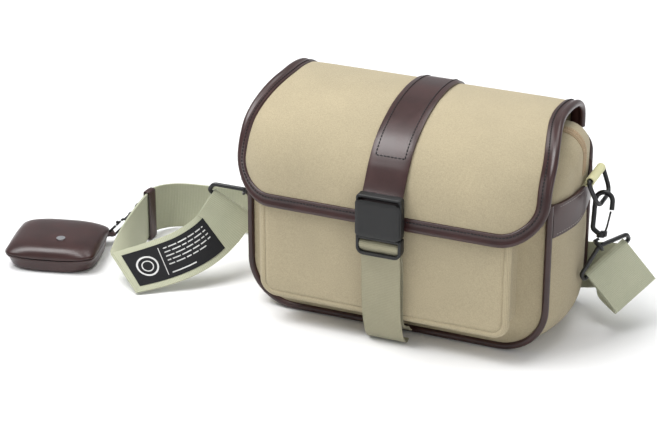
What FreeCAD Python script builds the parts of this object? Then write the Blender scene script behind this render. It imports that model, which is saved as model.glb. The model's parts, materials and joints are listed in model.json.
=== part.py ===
import FreeCAD, Part
import math
import os

# Camera shoulder bag, millimetres, +Z up.  The origin is the middle of the flat base,
# the front with the flap and the buckle faces -Y, and +X is right seen from the front.

V = FreeCAD.Vector
X_AXIS = V(1, 0, 0)
Y_AXIS = V(0, 1, 0)
Z_AXIS = V(0, 0, 1)

# ---- body of the bag -------------------------------------------------------------
FRONT_Y = -54.0            # plane of the front seam
BACK_Y = 58.0              # plane of the back seam
MID_Y = 2.0                # section where the gusset bulges most
SEAM_HALF = 138.0          # half width of both panels at the seams
BULGE_HALF = 151.0         # half width of the gusset at MID_Y
FRONT_TOP = 148.0
MID_TOP = 192.0
BACK_TOP = 170.0
BOTTOM_R = 42.0            # lower corners of both panels
TOP_R = 20.0
SEAM_LOW = 1.4             # underside of the gusset at both seams
MID_LOW = -1.2             # sagging underside, trimmed flat on the ground
CANVAS = 2.4
PIPING_R = 3.2
PIPING_HALF = 140.0
DOME_Y = -66.0             # front panel crown
DOME_MID_Y = -61.0

# ---- front pocket ----------------------------------------------------------------
POCKET_HALF = 115.5
POCKET_LOW = 28.0
POCKET_TOP = 142.0
POCKET_Y = -86.5
POCKET_R = 14.0
POCKET_WALL = 1.8
POCKET_TOP_R = 22.0

# ---- zip top ---------------------------------------------------------------------
LID_HALF = 112.0
ZIP_FRONT_Y = 2.0
ZIP_REAR_Y = 5.0
ZIP_Y = (ZIP_FRONT_Y + ZIP_REAR_Y) / 2
LID_FRONT_Y = -43.2
LID_REAR_Y = 48.7
LID_GAP = 0.4
COIL_HIGH = 1.3
COIL_WIDE = 2.2
ZIP_SLOT_HALF = 127.0
ZIP_END_LOW = 152.0
SLIDER_X = 119.5
SLIDER_LONG = 10.0
SLIDER_WIDE = 8.4
PULL_LONG = 17.0

# ---- flap ------------------------------------------------------------------------
FLAP_CANVAS = 1.8
FLAP_LINING = 0.8
FLAP_TOP_HALF = 134.0
FLAP_HALF = 145.0
FLAP_LOW = 116.0
FLAP_CORNER_R = 38.0
BINDING_WIDE = 13.0
BINDING_SKIN = 0.9
BINDING_WRAP = 1.2
HINGE_Z = 180.0
HEM_GAP = 0.6

# ---- closure ---------------------------------------------------------------------
STRAP_X = 3.0
STRAP_WIDE = 37.0
LEATHER = 2.6
TAIL_TOP_Z = 171.0
TAIL_LIFT = 0.6            # free play between the flap and the tail lying on it
TAIL_END_Z = 152.0
SEWN_GAP = 0.3            # between the flap canvas and the strap sewn on it
BUCKLE_HALF = 21.5
BUCKLE_TOP = 150.0
BUCKLE_SEAM = 112.0
BUCKLE_LOW = 93.0
BUCKLE_FRONT = -105.0
BUCKLE_REAR = -96.0
BUCKLE_WALL = 2.6          # side walls of both halves
MAGNET_R = 6.2
MAGNET_Y = -100.5
WEB = 1.5
FOOT_Z = 14.0
BAR_Y = -100.6
BAR_Z = 103.0

# ---- hardware and shoulder strap ---------------------------------------------------
TAB_LOW = 114.0
TAB_HIGH = 144.0
RING_X = 158.4
RING_Z = 149.0
RING_HALF = 21.0
RING_DROP = 24.0
RING_R = 2.0
RING_TILT = 22.0
RING_PLAY = 1.6
HOOK_R = 2.2
HOOK_BOW = 7.7
GATE_Z = 12.4
BARREL_Z = 8.2
EYE_R = 5.2
EYE_WIRE = 1.3
EYE_PLAY = 1.4
SHOULDER_WIDE = 46.0
SHOULDER_WEB = 2.0
LABEL_WIDE = 36.0
LABEL_LIFT = -1.6

# ---- pouch -----------------------------------------------------------------------
POUCH_AT = V(-350, -44, 0)
POUCH_TURN = 14.0
POUCH_HALF_X = 41.0
POUCH_HALF_Y = 36.0
POUCH_HIGH = 26.0
POUCH_SPLIT = 15.0
POUCH_R = 15.0
POUCH_WALL = 2.0

parts = {}


def keep(name, shape):
    solids = shape.Solids
    parts[name] = solids[0] if len(solids) == 1 else Part.makeCompound(solids)


def box(x0, x1, y0, y1, z0, z1):
    return Part.makeBox(x1 - x0, y1 - y0, z1 - z0, V(x0, y0, z0))


# ---- wires and skins ---------------------------------------------------------------
def round_rect(half, low, high, r_low, r_high, place):
    """Closed rounded rectangle; place(u, v) gives the point for width u and height v."""
    def corner(cu, cv, r, start):
        angles = [math.radians(start + a) for a in (0, 45, 90)]
        pts = [place(cu + r * math.cos(a), cv + r * math.sin(a)) for a in angles]
        return Part.Arc(*pts).toShape(), pts[0], pts[2]
    corners = [corner(half - r_high, high - r_high, r_high, 0),
               corner(-half + r_high, high - r_high, r_high, 90),
               corner(-half + r_low, low + r_low, r_low, 180),
               corner(half - r_low, low + r_low, r_low, 270)]
    edges = []
    for i, (arc, _, end) in enumerate(corners):
        following = corners[(i + 1) % 4][1]
        edges += [arc, Part.makeLine(end, following)]
    return Part.Wire(edges)


def panel_wire(y, half, low, high, r_low, r_high):
    return round_rect(half, low, high, r_low, r_high, lambda u, v: V(u, y, v))


def body_loft(grow):
    """Closed form through the front seam, the bulge and the back seam, grown by grow."""
    sections = [(FRONT_Y, SEAM_HALF, SEAM_LOW, FRONT_TOP),
                (MID_Y, BULGE_HALF, MID_LOW, MID_TOP),
                (BACK_Y, SEAM_HALF, SEAM_LOW, BACK_TOP)]
    wires = [panel_wire(y, half + grow, low - grow, high + grow, BOTTOM_R + grow, TOP_R + grow)
             for y, half, low, high in sections]
    return Part.makeLoft(wires, True)


def dome_loft(inset):
    """Crowned form in front of the front seam, pulled in by inset."""
    sections = [(FRONT_Y, SEAM_HALF, SEAM_LOW + 0.6, FRONT_TOP, 42.0),
                (DOME_MID_Y + inset * 0.5, 133.0, 6.0, 147.0, 38.0),
                (DOME_Y + inset, 121.0, 16.0, 144.0, 30.0)]
    wires = [panel_wire(y, half - inset, low + inset, high - inset, r - inset, 10.0)
             for y, half, low, high, r in sections]
    return Part.makeLoft(wires, True)


def tube(path, radius):
    """Round bar along a wire."""
    edge = path.Edges[0]
    start = edge.valueAt(edge.FirstParameter)
    tangent = edge.tangentAt(edge.FirstParameter)
    ring = Part.Wire(Part.makeCircle(radius, start, tangent))
    return path.makePipeShell([ring], True, True)


def filleted(points, radii, closed=False):
    """Wire of straight runs with an arc of its own radius at each inner point."""
    count = len(points)
    edges = []
    starts = {}
    ends = {}
    arcs = {}
    inner = range(count) if closed else range(1, count - 1)
    for i in inner:
        before, here, after = points[i - 1], points[i], points[(i + 1) % count]
        a = (before - here).normalize()
        b = (after - here).normalize()
        half = a.getAngle(b) / 2
        reach = radii[i] / math.tan(half)
        middle = (a + b).normalize()
        centre = here + middle * (radii[i] / math.sin(half))
        ends[i] = here + a * reach
        starts[i] = here + b * reach
        arcs[i] = Part.Arc(ends[i], centre - middle * radii[i], starts[i]).toShape()
    last = count if closed else count - 1
    for i in range(last):
        j = (i + 1) % count
        edges.append(Part.makeLine(starts.get(i, points[i]), ends.get(j, points[j])))
        if j in arcs:
            edges.append(arcs[j])
    return Part.Wire(edges)


# ---- body --------------------------------------------------------------------------
def piping(y, top):
    low = PIPING_R
    r = BOTTOM_R
    points = [V(-PIPING_HALF, y, top), V(-PIPING_HALF, y, low),
              V(PIPING_HALF, y, low), V(PIPING_HALF, y, top)]
    return tube(filleted(points, [0, r, r, 0]), PIPING_R)


def body_shell():
    front_piping = piping(FRONT_Y - 1.0, FRONT_TOP - 2)
    back_piping = piping(BACK_Y + 1.0, BACK_TOP - 8)
    keep("piping", Part.makeCompound([front_piping, back_piping]))

    ground = box(-200, 200, -100, 100, -20, 0)
    outer = body_loft(0)
    ring = outer.cut(body_loft(-CANVAS)).cut(ground)
    ring = ring.cut(front_piping).cut(back_piping)
    slot = box(-ZIP_SLOT_HALF, ZIP_SLOT_HALF, ZIP_FRONT_Y, ZIP_REAR_Y, 150, 220)

    top_zone = box(-LID_HALF, LID_HALF, -90, 90, 120, 220)
    bottom_zone = box(-96, 96, -90, 90, -5, 30)
    sides = ring.cut(top_zone).cut(bottom_zone).cut(slot)
    keep("gusset_left", sides.common(box(-200, 0, -90, 90, -5, 220)))
    keep("gusset_right", sides.common(box(0, 200, -90, 90, -5, 220)))
    keep("base_panel", ring.common(bottom_zone))

    facings = [ring.common(box(-LID_HALF, LID_HALF, y0, y1, 120, 220))
               for y0, y1 in [(-90, LID_FRONT_Y), (LID_REAR_Y, 90)]]
    keep("top_facings", Part.makeCompound(facings))
    lid_end = LID_HALF - LID_GAP
    for name, y0, y1 in [("zip_lid_front", LID_FRONT_Y + LID_GAP, ZIP_FRONT_Y),
                         ("zip_lid_rear", ZIP_REAR_Y, LID_REAR_Y - LID_GAP)]:
        keep(name, ring.common(box(-lid_end, lid_end, y0, y1, 120, 220)))

    coil_skin = body_loft(COIL_HIGH).cut(outer)
    halves = [("zip_coil_front", ZIP_FRONT_Y - COIL_WIDE, ZIP_FRONT_Y),
              ("zip_coil_rear", ZIP_REAR_Y, ZIP_REAR_Y + COIL_WIDE)]
    for name, y0, y1 in halves:
        keep(name, coil_skin.common(box(-lid_end, lid_end, y0, y1, 120, 220)))
    zip_ends = [coil_skin.common(box(x0, x1, ZIP_FRONT_Y - COIL_WIDE, ZIP_REAR_Y + COIL_WIDE,
                                     ZIP_END_LOW, 220)).cut(slot)
                for x0, x1 in [(-200, -LID_HALF), (LID_HALF, 200)]]
    keep("zip_ends", Part.makeCompound(zip_ends))

    dome = dome_loft(0)
    keep("front_panel", dome.cut(dome_loft(2.2)).cut(front_piping))
    back_wire = panel_wire(BACK_Y, SEAM_HALF, SEAM_LOW + 0.6, BACK_TOP, BOTTOM_R, TOP_R)
    back = Part.Face(back_wire).extrude(V(0, CANVAS, 0))
    keep("back_panel", back.cut(back_piping))
    return dome


def padding():
    inner = dome_loft(2.6)
    slab_wire = panel_wire(FRONT_Y, 132, 8, 142, 34, 12)
    slab = Part.Face(slab_wire).extrude(V(0, 7.4, 0))
    keep("foam_front", inner.fuse(slab).cut(parts["piping"]))
    back_wire = panel_wire(50, 132, 8, 162, 34, 12)
    keep("foam_back", Part.Face(back_wire).extrude(V(0, BACK_Y - 50.2, 0)))
    keep("foam_base", box(-104, 104, -46, 49.5, 3.2, 9))
    keep("foam_sides", Part.makeCompound([box(x, x + 6, -38, 42, 42, 140) for x in (-134, 128)]))
    outside = box(-127.6, 127.6, -46.2, 49.6, 9.3, 138)
    inside = box(-126.8, 126.8, -45.4, 48.8, 10.1, 139)
    outside = outside.makeFillet(24, [e for e in outside.Edges if runs_along_y_low(e)])
    inside = inside.makeFillet(23.2, [e for e in inside.Edges if runs_along_y_low(e)])
    keep("lining", outside.cut(inside))
    for name, x in [("divider_left", -42), ("divider_right", 42)]:
        pad = box(x - 4, x + 4, -44.6, 48, 10.8, 86)
        keep(name, pad.makeFillet(3, [e for e in pad.Edges if e.BoundBox.XLength < 0.1]))


def runs_along_y_low(edge):
    b = edge.BoundBox
    return b.YLength > 50 and b.ZMax < 20


def pocket(dome):
    def block(inset, y):
        wire = panel_wire(y, POCKET_HALF - inset, POCKET_LOW + inset, POCKET_TOP,
                          POCKET_R - inset, POCKET_TOP_R)
        return Part.Face(wire)
    outer = block(0, POCKET_Y).extrude(V(0, 32, 0))
    inner = block(POCKET_WALL, POCKET_Y + POCKET_WALL).extrude(V(0, 40, 0))
    mouth = box(-POCKET_HALF + POCKET_TOP_R, POCKET_HALF - POCKET_TOP_R, POCKET_Y + POCKET_WALL, -40,
                POCKET_TOP - 10, POCKET_TOP + 10)
    inner = inner.fuse(mouth)
    face_depth = POCKET_Y + POCKET_WALL
    face = block(0, POCKET_Y).extrude(V(0, POCKET_WALL, 0))
    keep("pocket_face", face)
    sides = outer.cut(inner).cut(dome).cut(face)
    keep("pocket_gusset", sides.common(box(-130, 130, face_depth, -50, 0, 200)))


# ---- zip slider ----------------------------------------------------------------------
def crown_z(y):
    """Height of the gusset's outer skin over the middle of the bag."""
    t = (y - FRONT_Y) / (BACK_Y - FRONT_Y)
    bend = 2 * (FRONT_TOP + BACK_TOP - 2 * MID_TOP)
    return FRONT_TOP * (1 - t) + BACK_TOP * t - bend * t * (1 - t)


def zip_slider():
    skin = crown_z(ZIP_Y)
    low = skin - CANVAS - 2.2
    top = skin + COIL_HIGH + 0.9
    half = SLIDER_LONG / 2
    x0, x1 = SLIDER_X - half, SLIDER_X + half
    y0, y1 = ZIP_Y - SLIDER_WIDE / 2, ZIP_Y + SLIDER_WIDE / 2
    upper = box(x0, x1, y0, y1, top, top + 1.6)
    upper = upper.makeFillet(0.7, [e for e in upper.Edges if e.BoundBox.ZLength > 1])
    lower = box(x0, x1, y0 + 1, y1 - 1, low, low + 1.2)
    post = box(x0 + 1, x1 - 5, ZIP_Y - 0.8, ZIP_Y + 0.8, low, top + 0.5)
    lug = box(x0 + 1, x0 + 3, ZIP_Y - 1.5, ZIP_Y + 1.5, top + 1.0, top + 3.4)
    bore = Part.makeCylinder(0.6, 6, V(x0 + 2, ZIP_Y - 3, top + 2.6), Y_AXIS)
    keep("zip_slider", upper.fuse([lower, post, lug]).cut(bore))
    pin = Part.makeCylinder(0.5, 5.0, V(x0 + 2, ZIP_Y - 2.5, top + 2.6), Y_AXIS)
    arms = [box(x0 - 6, x0 + 2.8, ZIP_Y + s - 0.5, ZIP_Y + s + 0.5, top + 2.1, top + 3.1)
            for s in (-2.2, 2.2)]
    tab = box(x0 - PULL_LONG, x0 - 4, ZIP_Y - 2.7, ZIP_Y + 2.7, top + 1.9, top + 3.1)
    tab = tab.makeFillet(1.5, [e for e in tab.Edges if e.BoundBox.ZLength > 1])
    keep("zip_pull", tab.fuse(arms + [pin]))
    return top + 2.6


# ---- flap ------------------------------------------------------------------------------
# Outline of the flap's outer skin from the rear edge over the top to the front edge,
# as (y, z): once down the middle, where the pocket pushes it out, and once at its ends.
FLAP_MIDDLE = [(62, 180.3), (60.5, 190.5), (51, 200), (32, 205.3), (11, 207), (-15, 205),
               (-42, 197.5), (-65, 185.5), (-81, 168), (-89, 150), (-91.8, 133), (-92, FLAP_LOW)]
FLAP_END = [(62, 180.3), (60.5, 189), (50, 198.4), (31, 204.6), (11, 206.3), (-13, 203.4),
            (-35, 194), (-53, 181), (-65, 164), (-69.5, 147), (-70.5, 132), (-70.5, FLAP_LOW)]
FLAP_ROWS = 24
FLAP_COLUMNS = 25
FLAP_EASE = 12


def spline_through(points):
    curve = Part.BSplineCurve()
    curve.interpolate([V(0, y, z) for y, z in points])
    return curve


MIDDLE_CURVE = spline_through(FLAP_MIDDLE)
END_CURVE = spline_through(FLAP_END)


def flap_half(s):
    """The flap is narrower at the back and over the top than at its front edge."""
    ease = min(1.0, max(0.0, (s - 0.30) / 0.40))
    ease = ease * ease * (3 - 2 * ease)
    return FLAP_TOP_HALF + (FLAP_HALF - FLAP_TOP_HALF) * ease


def flap_skin(s, x):
    """Point on the flap's outer skin at s, from 0 at the back to 1 at the front, and x."""
    def at(curve):
        first, last = curve.FirstParameter, curve.LastParameter
        return curve.value(first + (last - first) * s)
    t = min(1.0, abs(x) / FLAP_HALF)
    share = t ** FLAP_EASE
    point = at(MIDDLE_CURVE) * (1 - share) + at(END_CURVE) * share
    return V(x, point.y, point.z)


def flap_offset(s, x, lift):
    """Point lift above the flap's skin along its normal."""
    step = 0.002
    s0, s1 = max(0.0, s - step), min(1.0, s + step)
    along = flap_skin(s1, x) - flap_skin(s0, x)
    across = flap_skin(s, x + 0.5) - flap_skin(s, x - 0.5)
    normal = along.cross(across).normalize()
    return flap_skin(s, x) + normal * lift


def sheet(low_lift, high_lift, s0, s1, edge, rows=FLAP_ROWS, columns=FLAP_COLUMNS, centre=0.0):
    """Solid layer over the flap between two lifts; edge(s) is its half width at s."""
    def surface(lift):
        grid = []
        for i in range(rows):
            s = s0 + (s1 - s0) * i / (rows - 1)
            half = edge(s)
            grid.append([flap_offset(s, centre + half * (2 * j / (columns - 1) - 1), lift)
                         for j in range(columns)])
        skin = Part.BSplineSurface()
        skin.interpolate(grid)
        return skin
    top, bottom = surface(high_lift), surface(low_lift)
    rims = []
    for skin in (top, bottom):
        u0, u1, v0, v1 = skin.bounds()
        rims.append([skin.uIso(u0), skin.uIso(u1), skin.vIso(v0), skin.vIso(v1)])
    faces = [top.toShape(), bottom.toShape()]
    for a, b in zip(*rims):
        rim = Part.makeLoft([Part.Wire(a.toShape()), Part.Wire(b.toShape())], False, True)
        faces.append(rim.Faces[0])
    shell = Part.makeShell(faces)
    shell.sewShape()
    solid = Part.Solid(shell)
    if solid.Volume < 0:
        solid.reverse()
    return solid


def corner_cutters(half, low, radius):
    """What is left outside the rounded lower corners of a flap layer."""
    cutters = []
    for side in (-1, 1):
        inner = side * (half - radius)
        outer = side * (half + 8)
        block = box(min(inner, outer), max(inner, outer), -125, -30, low - 8, low + radius)
        round_bar = Part.makeCylinder(radius, 200, V(inner, -150, low + radius), Y_AXIS)
        cutters.append(block.cut(round_bar))
    return cutters


def s_at_height(z):
    """The front part's s where the middle outline is at height z."""
    low, high = 0.5, 1.0
    for _ in range(40):
        mid = (low + high) / 2
        if flap_skin(mid, STRAP_X).z > z:
            low = mid
        else:
            high = mid
    return low


def flap():
    # The canvas and its lining stop a little inside the folded leather edging.
    low = FLAP_LOW + BINDING_WRAP
    s_core = s_at_height(low)
    cut_core = corner_cutters(FLAP_HALF - BINDING_WRAP, low, FLAP_CORNER_R - BINDING_WRAP)

    def core_half(s):
        return flap_half(s) - BINDING_WRAP
    full = FLAP_CANVAS + FLAP_LINING
    keep("flap_panel", sheet(-FLAP_CANVAS, 0, 0, s_core, core_half).cut(cut_core))
    keep("flap_lining", sheet(-full, -FLAP_CANVAS, 0, s_core, core_half).cut(cut_core))

    inset = BINDING_WIDE
    field = sheet(-9, 9, 0, s_at_height(FLAP_LOW + inset), lambda s: flap_half(s) - inset)
    field = field.cut(corner_cutters(FLAP_HALF - inset, FLAP_LOW + inset, FLAP_CORNER_R - inset))
    thick = sheet(-full - BINDING_SKIN, BINDING_SKIN, 0.005, 1, flap_half)
    thick = thick.cut(corner_cutters(FLAP_HALF, FLAP_LOW, FLAP_CORNER_R))
    core = sheet(-full, 0, 0, s_core, core_half).cut(cut_core)
    keep("flap_binding", thick.cut(field).cut(core))

    half = STRAP_WIDE / 2
    s_end = s_at_height(TAIL_TOP_Z + 0.5)
    strap = sheet(SEWN_GAP, LEATHER, 0, s_end, lambda s: half, columns=5, centre=STRAP_X)
    keep("closure_strap", strap)
    plate = box(STRAP_X - half, STRAP_X + half, 62.4 - CANVAS, 62.4 + LEATHER, 160, HINGE_Z - HEM_GAP)
    hem = box(-FLAP_TOP_HALF, FLAP_TOP_HALF, BACK_Y + CANVAS, 62.2, 163, HINGE_Z - HEM_GAP)
    keep("flap_hem", hem.cut(plate))
    keep("strap_anchor", plate.common(box(-50, 50, 62.2, 70, 150, 200)).fuse(
        plate.common(box(-50, 50, BACK_Y + CANVAS, 62.2, 150, 200))))


# ---- closure ---------------------------------------------------------------------------
def strip(points, thickness, wide, centre):
    """Flat band along a (y, z) line, wide across X, thickness split to both sides."""
    curve = spline_through(points)
    first, last = curve.FirstParameter, curve.LastParameter
    count = 6 * len(points)
    sides = ([], [])
    for i in range(count + 1):
        u = first + (last - first) * i / count
        here = curve.value(u)
        tangent = curve.tangent(u)[0]
        normal = V(0, -tangent.z, tangent.y)
        for side, sign in zip(sides, (-0.5, 0.5)):
            side.append(here + normal * (sign * thickness) + V(centre - wide / 2, 0, 0))
    edges = []
    for side in sides:
        line = Part.BSplineCurve()
        line.interpolate(side)
        edges.append(line.toShape())
    ends = [Part.makeLine(sides[0][k], sides[1][k]) for k in (0, -1)]
    wire = Part.Wire(Part.__sortEdges__(edges + ends))
    return Part.Face(wire).extrude(V(wide, 0, 0))


def closure():
    half = BUCKLE_HALF
    x0, x1 = STRAP_X - half, STRAP_X + half
    s_top = s_at_height(TAIL_TOP_Z)
    tail = sheet(TAIL_LIFT, TAIL_LIFT + LEATHER, s_top, s_at_height(TAIL_END_Z),
                 lambda s: STRAP_WIDE / 2, rows=8, columns=5, centre=STRAP_X)
    insert = strip([(-88.9, 156), (-91.9, 150), (-96, 144.5), (-99.8, 139), (-100.5, 133)], LEATHER - 0.2,
                   STRAP_WIDE, STRAP_X)
    leather = tail.fuse(insert)
    keep("closure_tail", leather)

    upper = box(x0, x1, BUCKLE_FRONT, BUCKLE_REAR, BUCKLE_SEAM + 0.2, BUCKLE_TOP)
    upper = upper.makeFillet(2.0, [e for e in upper.Edges if e.BoundBox.ZLength > 20])
    upper = upper.makeChamfer(0.8, [e for e in upper.Edges
                                    if e.BoundBox.ZMax < BUCKLE_SEAM + 1 and e.BoundBox.XLength > 20])
    slot_top = box(x0 + BUCKLE_WALL, x1 - BUCKLE_WALL, -103.0, -90, 131.5, 146.5)
    rear_mouth = box(x0 + BUCKLE_WALL, x1 - BUCKLE_WALL, -98.0, -90, 140, 152)
    well = Part.makeCylinder(MAGNET_R, 4.2, V(STRAP_X, MAGNET_Y, BUCKLE_SEAM + 1.6), Z_AXIS)
    well_shape = box(STRAP_X - 9, STRAP_X + 9, -103, -98, BUCKLE_SEAM + 1.6, BUCKLE_SEAM + 5.8)
    keep("buckle_upper", upper.cut(slot_top).cut(rear_mouth).cut(well_shape).cut(leather))
    keep("magnet_upper", well_shape.common(well))

    bar = Part.makeCylinder(1.7, 2 * half - 4, V(x0 + 2, BAR_Y, BAR_Z), X_AXIS)
    lower = box(x0, x1, BUCKLE_FRONT, BUCKLE_REAR, BUCKLE_LOW, BUCKLE_SEAM - 0.2)
    lower = lower.makeFillet(2.0, [e for e in lower.Edges if e.BoundBox.ZLength > 15])
    lower = lower.makeFillet(2.4, [e for e in lower.Edges
                                   if e.BoundBox.ZMax < BUCKLE_LOW + 1 and e.BoundBox.XLength > 20])
    window = box(x0 + BUCKLE_WALL, x1 - BUCKLE_WALL, -110, -90, 97.0, 107.0)
    back_way = box(x0 + BUCKLE_WALL, x1 - BUCKLE_WALL, -102.0, -90, 90, 107.0)
    low_well = box(STRAP_X - 9, STRAP_X + 9, -103, -98, 107.8, 111.0)
    disc = Part.makeCylinder(MAGNET_R, 3.2, V(STRAP_X, MAGNET_Y, 107.8), Z_AXIS)
    keep("magnet_lower", low_well.common(disc))

    loop = [(-73, FOOT_Z + 0.3), (-82, 17.6), (-88.1, 25.5), (-88.6, 38), (-88.8, 60), (-91, 82), (-96.2, 94),
            (-97.6, 101), (-98.4, 105), (-100.8, 106.0), (-103.2, 104.6), (-103.4, 101.2),
            (-100.9, 97.6), (-98.9, 92), (-96.8, 80), (-95.4, 58), (-93.2, 34), (-88.5, FOOT_Z + 0.3)]
    webbing = strip(loop, WEB - 0.3, STRAP_WIDE - 1, STRAP_X)
    keep("closure_webbing", webbing)
    keep("buckle_lower", lower.cut(window).cut(back_way).fuse(bar).cut(low_well).cut(webbing))
    foot_in = strip([(-73, FOOT_Z - 0.3), (-69, 10), (-64.5, 7.4), (-62, 6.6)], WEB - 0.3,
                    STRAP_WIDE - 1, STRAP_X)
    foot_out = strip([(-88.5, FOOT_Z - 0.3), (-84, 6), (-80, 2.0), (-76, 1.0), (-73, 2.2), (-72.6, 5)],
                     WEB - 0.3, STRAP_WIDE - 1, STRAP_X)
    keep("webbing_foot", Part.makeCompound([foot_in.cut(parts["front_panel"]), foot_out]))


# ---- side hardware -----------------------------------------------------------------------
def frame_matrix(origin, x_dir, z_dir):
    z = V(z_dir).normalize()
    y = z.cross(x_dir).normalize()
    x = y.cross(z)
    return FreeCAD.Matrix(x.x, y.x, z.x, origin.x, x.y, y.y, z.y, origin.y,
                          x.z, y.z, z.z, origin.z, 0, 0, 0, 1)


def placed(shape, matrix):
    copy = shape.copy()
    copy.transformShape(matrix)
    return copy


def side_tab(side):
    """Leather tab round one gusset, and the webbing behind it that rises to the ring."""
    layer = body_loft(3.9).cut(body_loft(1.7))
    x0, x1 = (60, 200) if side > 0 else (-200, -60)
    tab = layer.common(box(x0, x1, FRONT_Y + 4, BACK_Y - 4, TAB_LOW, TAB_HIGH))
    under = body_loft(1.6).cut(body_loft(0.05))
    return tab, under.common(box(x0, x1, RING_Y[side] - 17, RING_Y[side] + 17, TAB_LOW + 6, RING_Z - 2.0))


RING_Y = {1: 16.5, -1: 8.0}


def ring_set(side, word):
    """D-ring on one gusset, with the tab and the webbing loop that hold it."""
    y = RING_Y[side]
    tab, under = side_tab(side)
    x = side * RING_X
    sleeve = Part.makeCylinder(4.2, 34, V(x, y - 17, RING_Z), Y_AXIS)
    bore = Part.makeCylinder(2.6, 40, V(x, y - 20, RING_Z), Y_AXIS)
    bridge = box(min(side * 151.0, x), max(side * 151.0, x), y - 17, y + 17, RING_Z - 4.2, RING_Z - 2.6)
    hull = body_loft(0.05)
    loop = sleeve.fuse([bridge, under]).cut(bore).cut(hull)
    drop = V(side * math.sin(math.radians(RING_TILT)), 0, -math.cos(math.radians(RING_TILT)))
    top = V(x, y, RING_Z)
    points = [top - Y_AXIS * RING_HALF, top + Y_AXIS * RING_HALF,
              top + Y_AXIS * (RING_HALF - 3) + drop * RING_DROP,
              top - Y_AXIS * (RING_HALF - 3) + drop * RING_DROP]
    keep("d_ring_" + word, tube(filleted(points, [3, 3, 10, 10], closed=True), RING_R))
    return top + drop * RING_DROP, tab, loop


def triangle_loop(matrix, word):
    """Five-sided wire loop; local X is along its bar, Z towards its peak."""
    points = [V(-27, 0, 0), V(-27, 0, 9), V(0, 0, PEAK), V(27, 0, 9), V(27, 0, 0)]
    loop = tube(filleted(points, [3, 5, 6, 5, 3], closed=True), 2.0)
    keep("strap_loop_" + word, placed(loop, matrix))


def snap_hook(matrix, bow_z, word):
    """Wire-gate snap hook; local Z runs up its shank, the bow's opening faces +X."""
    back = -HOOK_BOW
    nose_z = bow_z - 7.0
    points = [V(0, 0, 10.2), V(back, 0, 15), V(back, 0, bow_z + HOOK_BOW),
              V(HOOK_BOW, 0, bow_z + HOOK_BOW), V(HOOK_BOW, 0, nose_z)]
    body = tube(filleted(points, [0, 4, HOOK_BOW - 0.05, HOOK_BOW - 0.05, 0]), HOOK_R)
    barrel = Part.makeCylinder(3.6, 4.4, V(0, 0, BARREL_Z))
    lug = box(0, 5.2, -2.4, 2.4, 9.4, 14.2)
    cheek = box(1.8, 9, -1.25, 1.25, 10.9, 17)
    bore = Part.makeCylinder(0.75, 10, V(3.4, -5, GATE_Z), Y_AXIS)
    keep("snap_hook_" + word, placed(body.fuse([barrel, lug]).cut(cheek).cut(bore), matrix))

    pin = Part.makeCylinder(0.65, 4.6, V(3.4, -2.3, GATE_Z), Y_AXIS)
    wire = tube(filleted([V(3.4, 0, GATE_Z), V(5.0, 0, 18.5), V(7.0, 0, nose_z - 1.4)], [0, 12, 0]), 0.9)
    keep("gate_" + word, placed(wire.fuse(pin), matrix))


def swivel_eye(peak, along, shank, word):
    """Ring round the wire loop's peak, with a bent neck up to the hook's barrel."""
    lean = (shank - along * shank.dot(along)).normalize()
    centre = peak + lean * EYE_PLAY
    ring = Part.makeTorus(EYE_R, EYE_WIRE, centre, along)
    root = centre + lean * EYE_R
    neck = peak + shank * (BARREL_Z - 0.3) - root
    length = neck.Length - EYE_WIRE * abs(neck.normalize().dot(lean))
    keep("swivel_eye_" + word, ring.fuse(Part.makeCylinder(EYE_WIRE, length - EYE_WIRE, root, neck)))


HARDWARE = {
    1: dict(word="right", bar=V(172, 19, 68), along=V(0.56, 0.60, 0.57), up=V(-0.126, -0.618, 0.776)),
    -1: dict(word="left", bar=V(-183, -4, 66), along=V(0.78, 0.25, -0.57), up=V(0.5, -0.1, 0.86)),
}
PEAK = 25.0
joints = {}


def hang_set(side):
    spec = HARDWARE[side]
    word = spec["word"]
    ring_low, tab, ring_loop = ring_set(side, word)
    along = V(spec["along"]).normalize()
    up = (spec["up"] - along * spec["up"].dot(along)).normalize()
    loop_matrix = frame_matrix(spec["bar"], along, up)
    triangle_loop(loop_matrix, word)
    # The peak's bend is rounded, so the wire's centre there is a little below the corner.
    half_turn = math.atan2(27, PEAK - 9)
    peak = spec["bar"] + up * (PEAK - 6.0 / math.sin(half_turn) + 6.0)
    shank = (ring_low - peak).normalize()
    gap = (ring_low - peak).Length
    hook_matrix = frame_matrix(peak, V(side, 0, 0), shank)
    snap_hook(hook_matrix, gap - RING_PLAY, word)
    swivel_eye(peak, along, shank, word)
    joints[word] = dict(ring_low=ring_low, peak=peak, shank=shank, along=along,
                        gate=hook_matrix.multVec(V(3.4, 0, GATE_Z)),
                        gate_axis=hook_matrix.multVec(Y_AXIS) - peak)
    return tab, ring_loop


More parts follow.
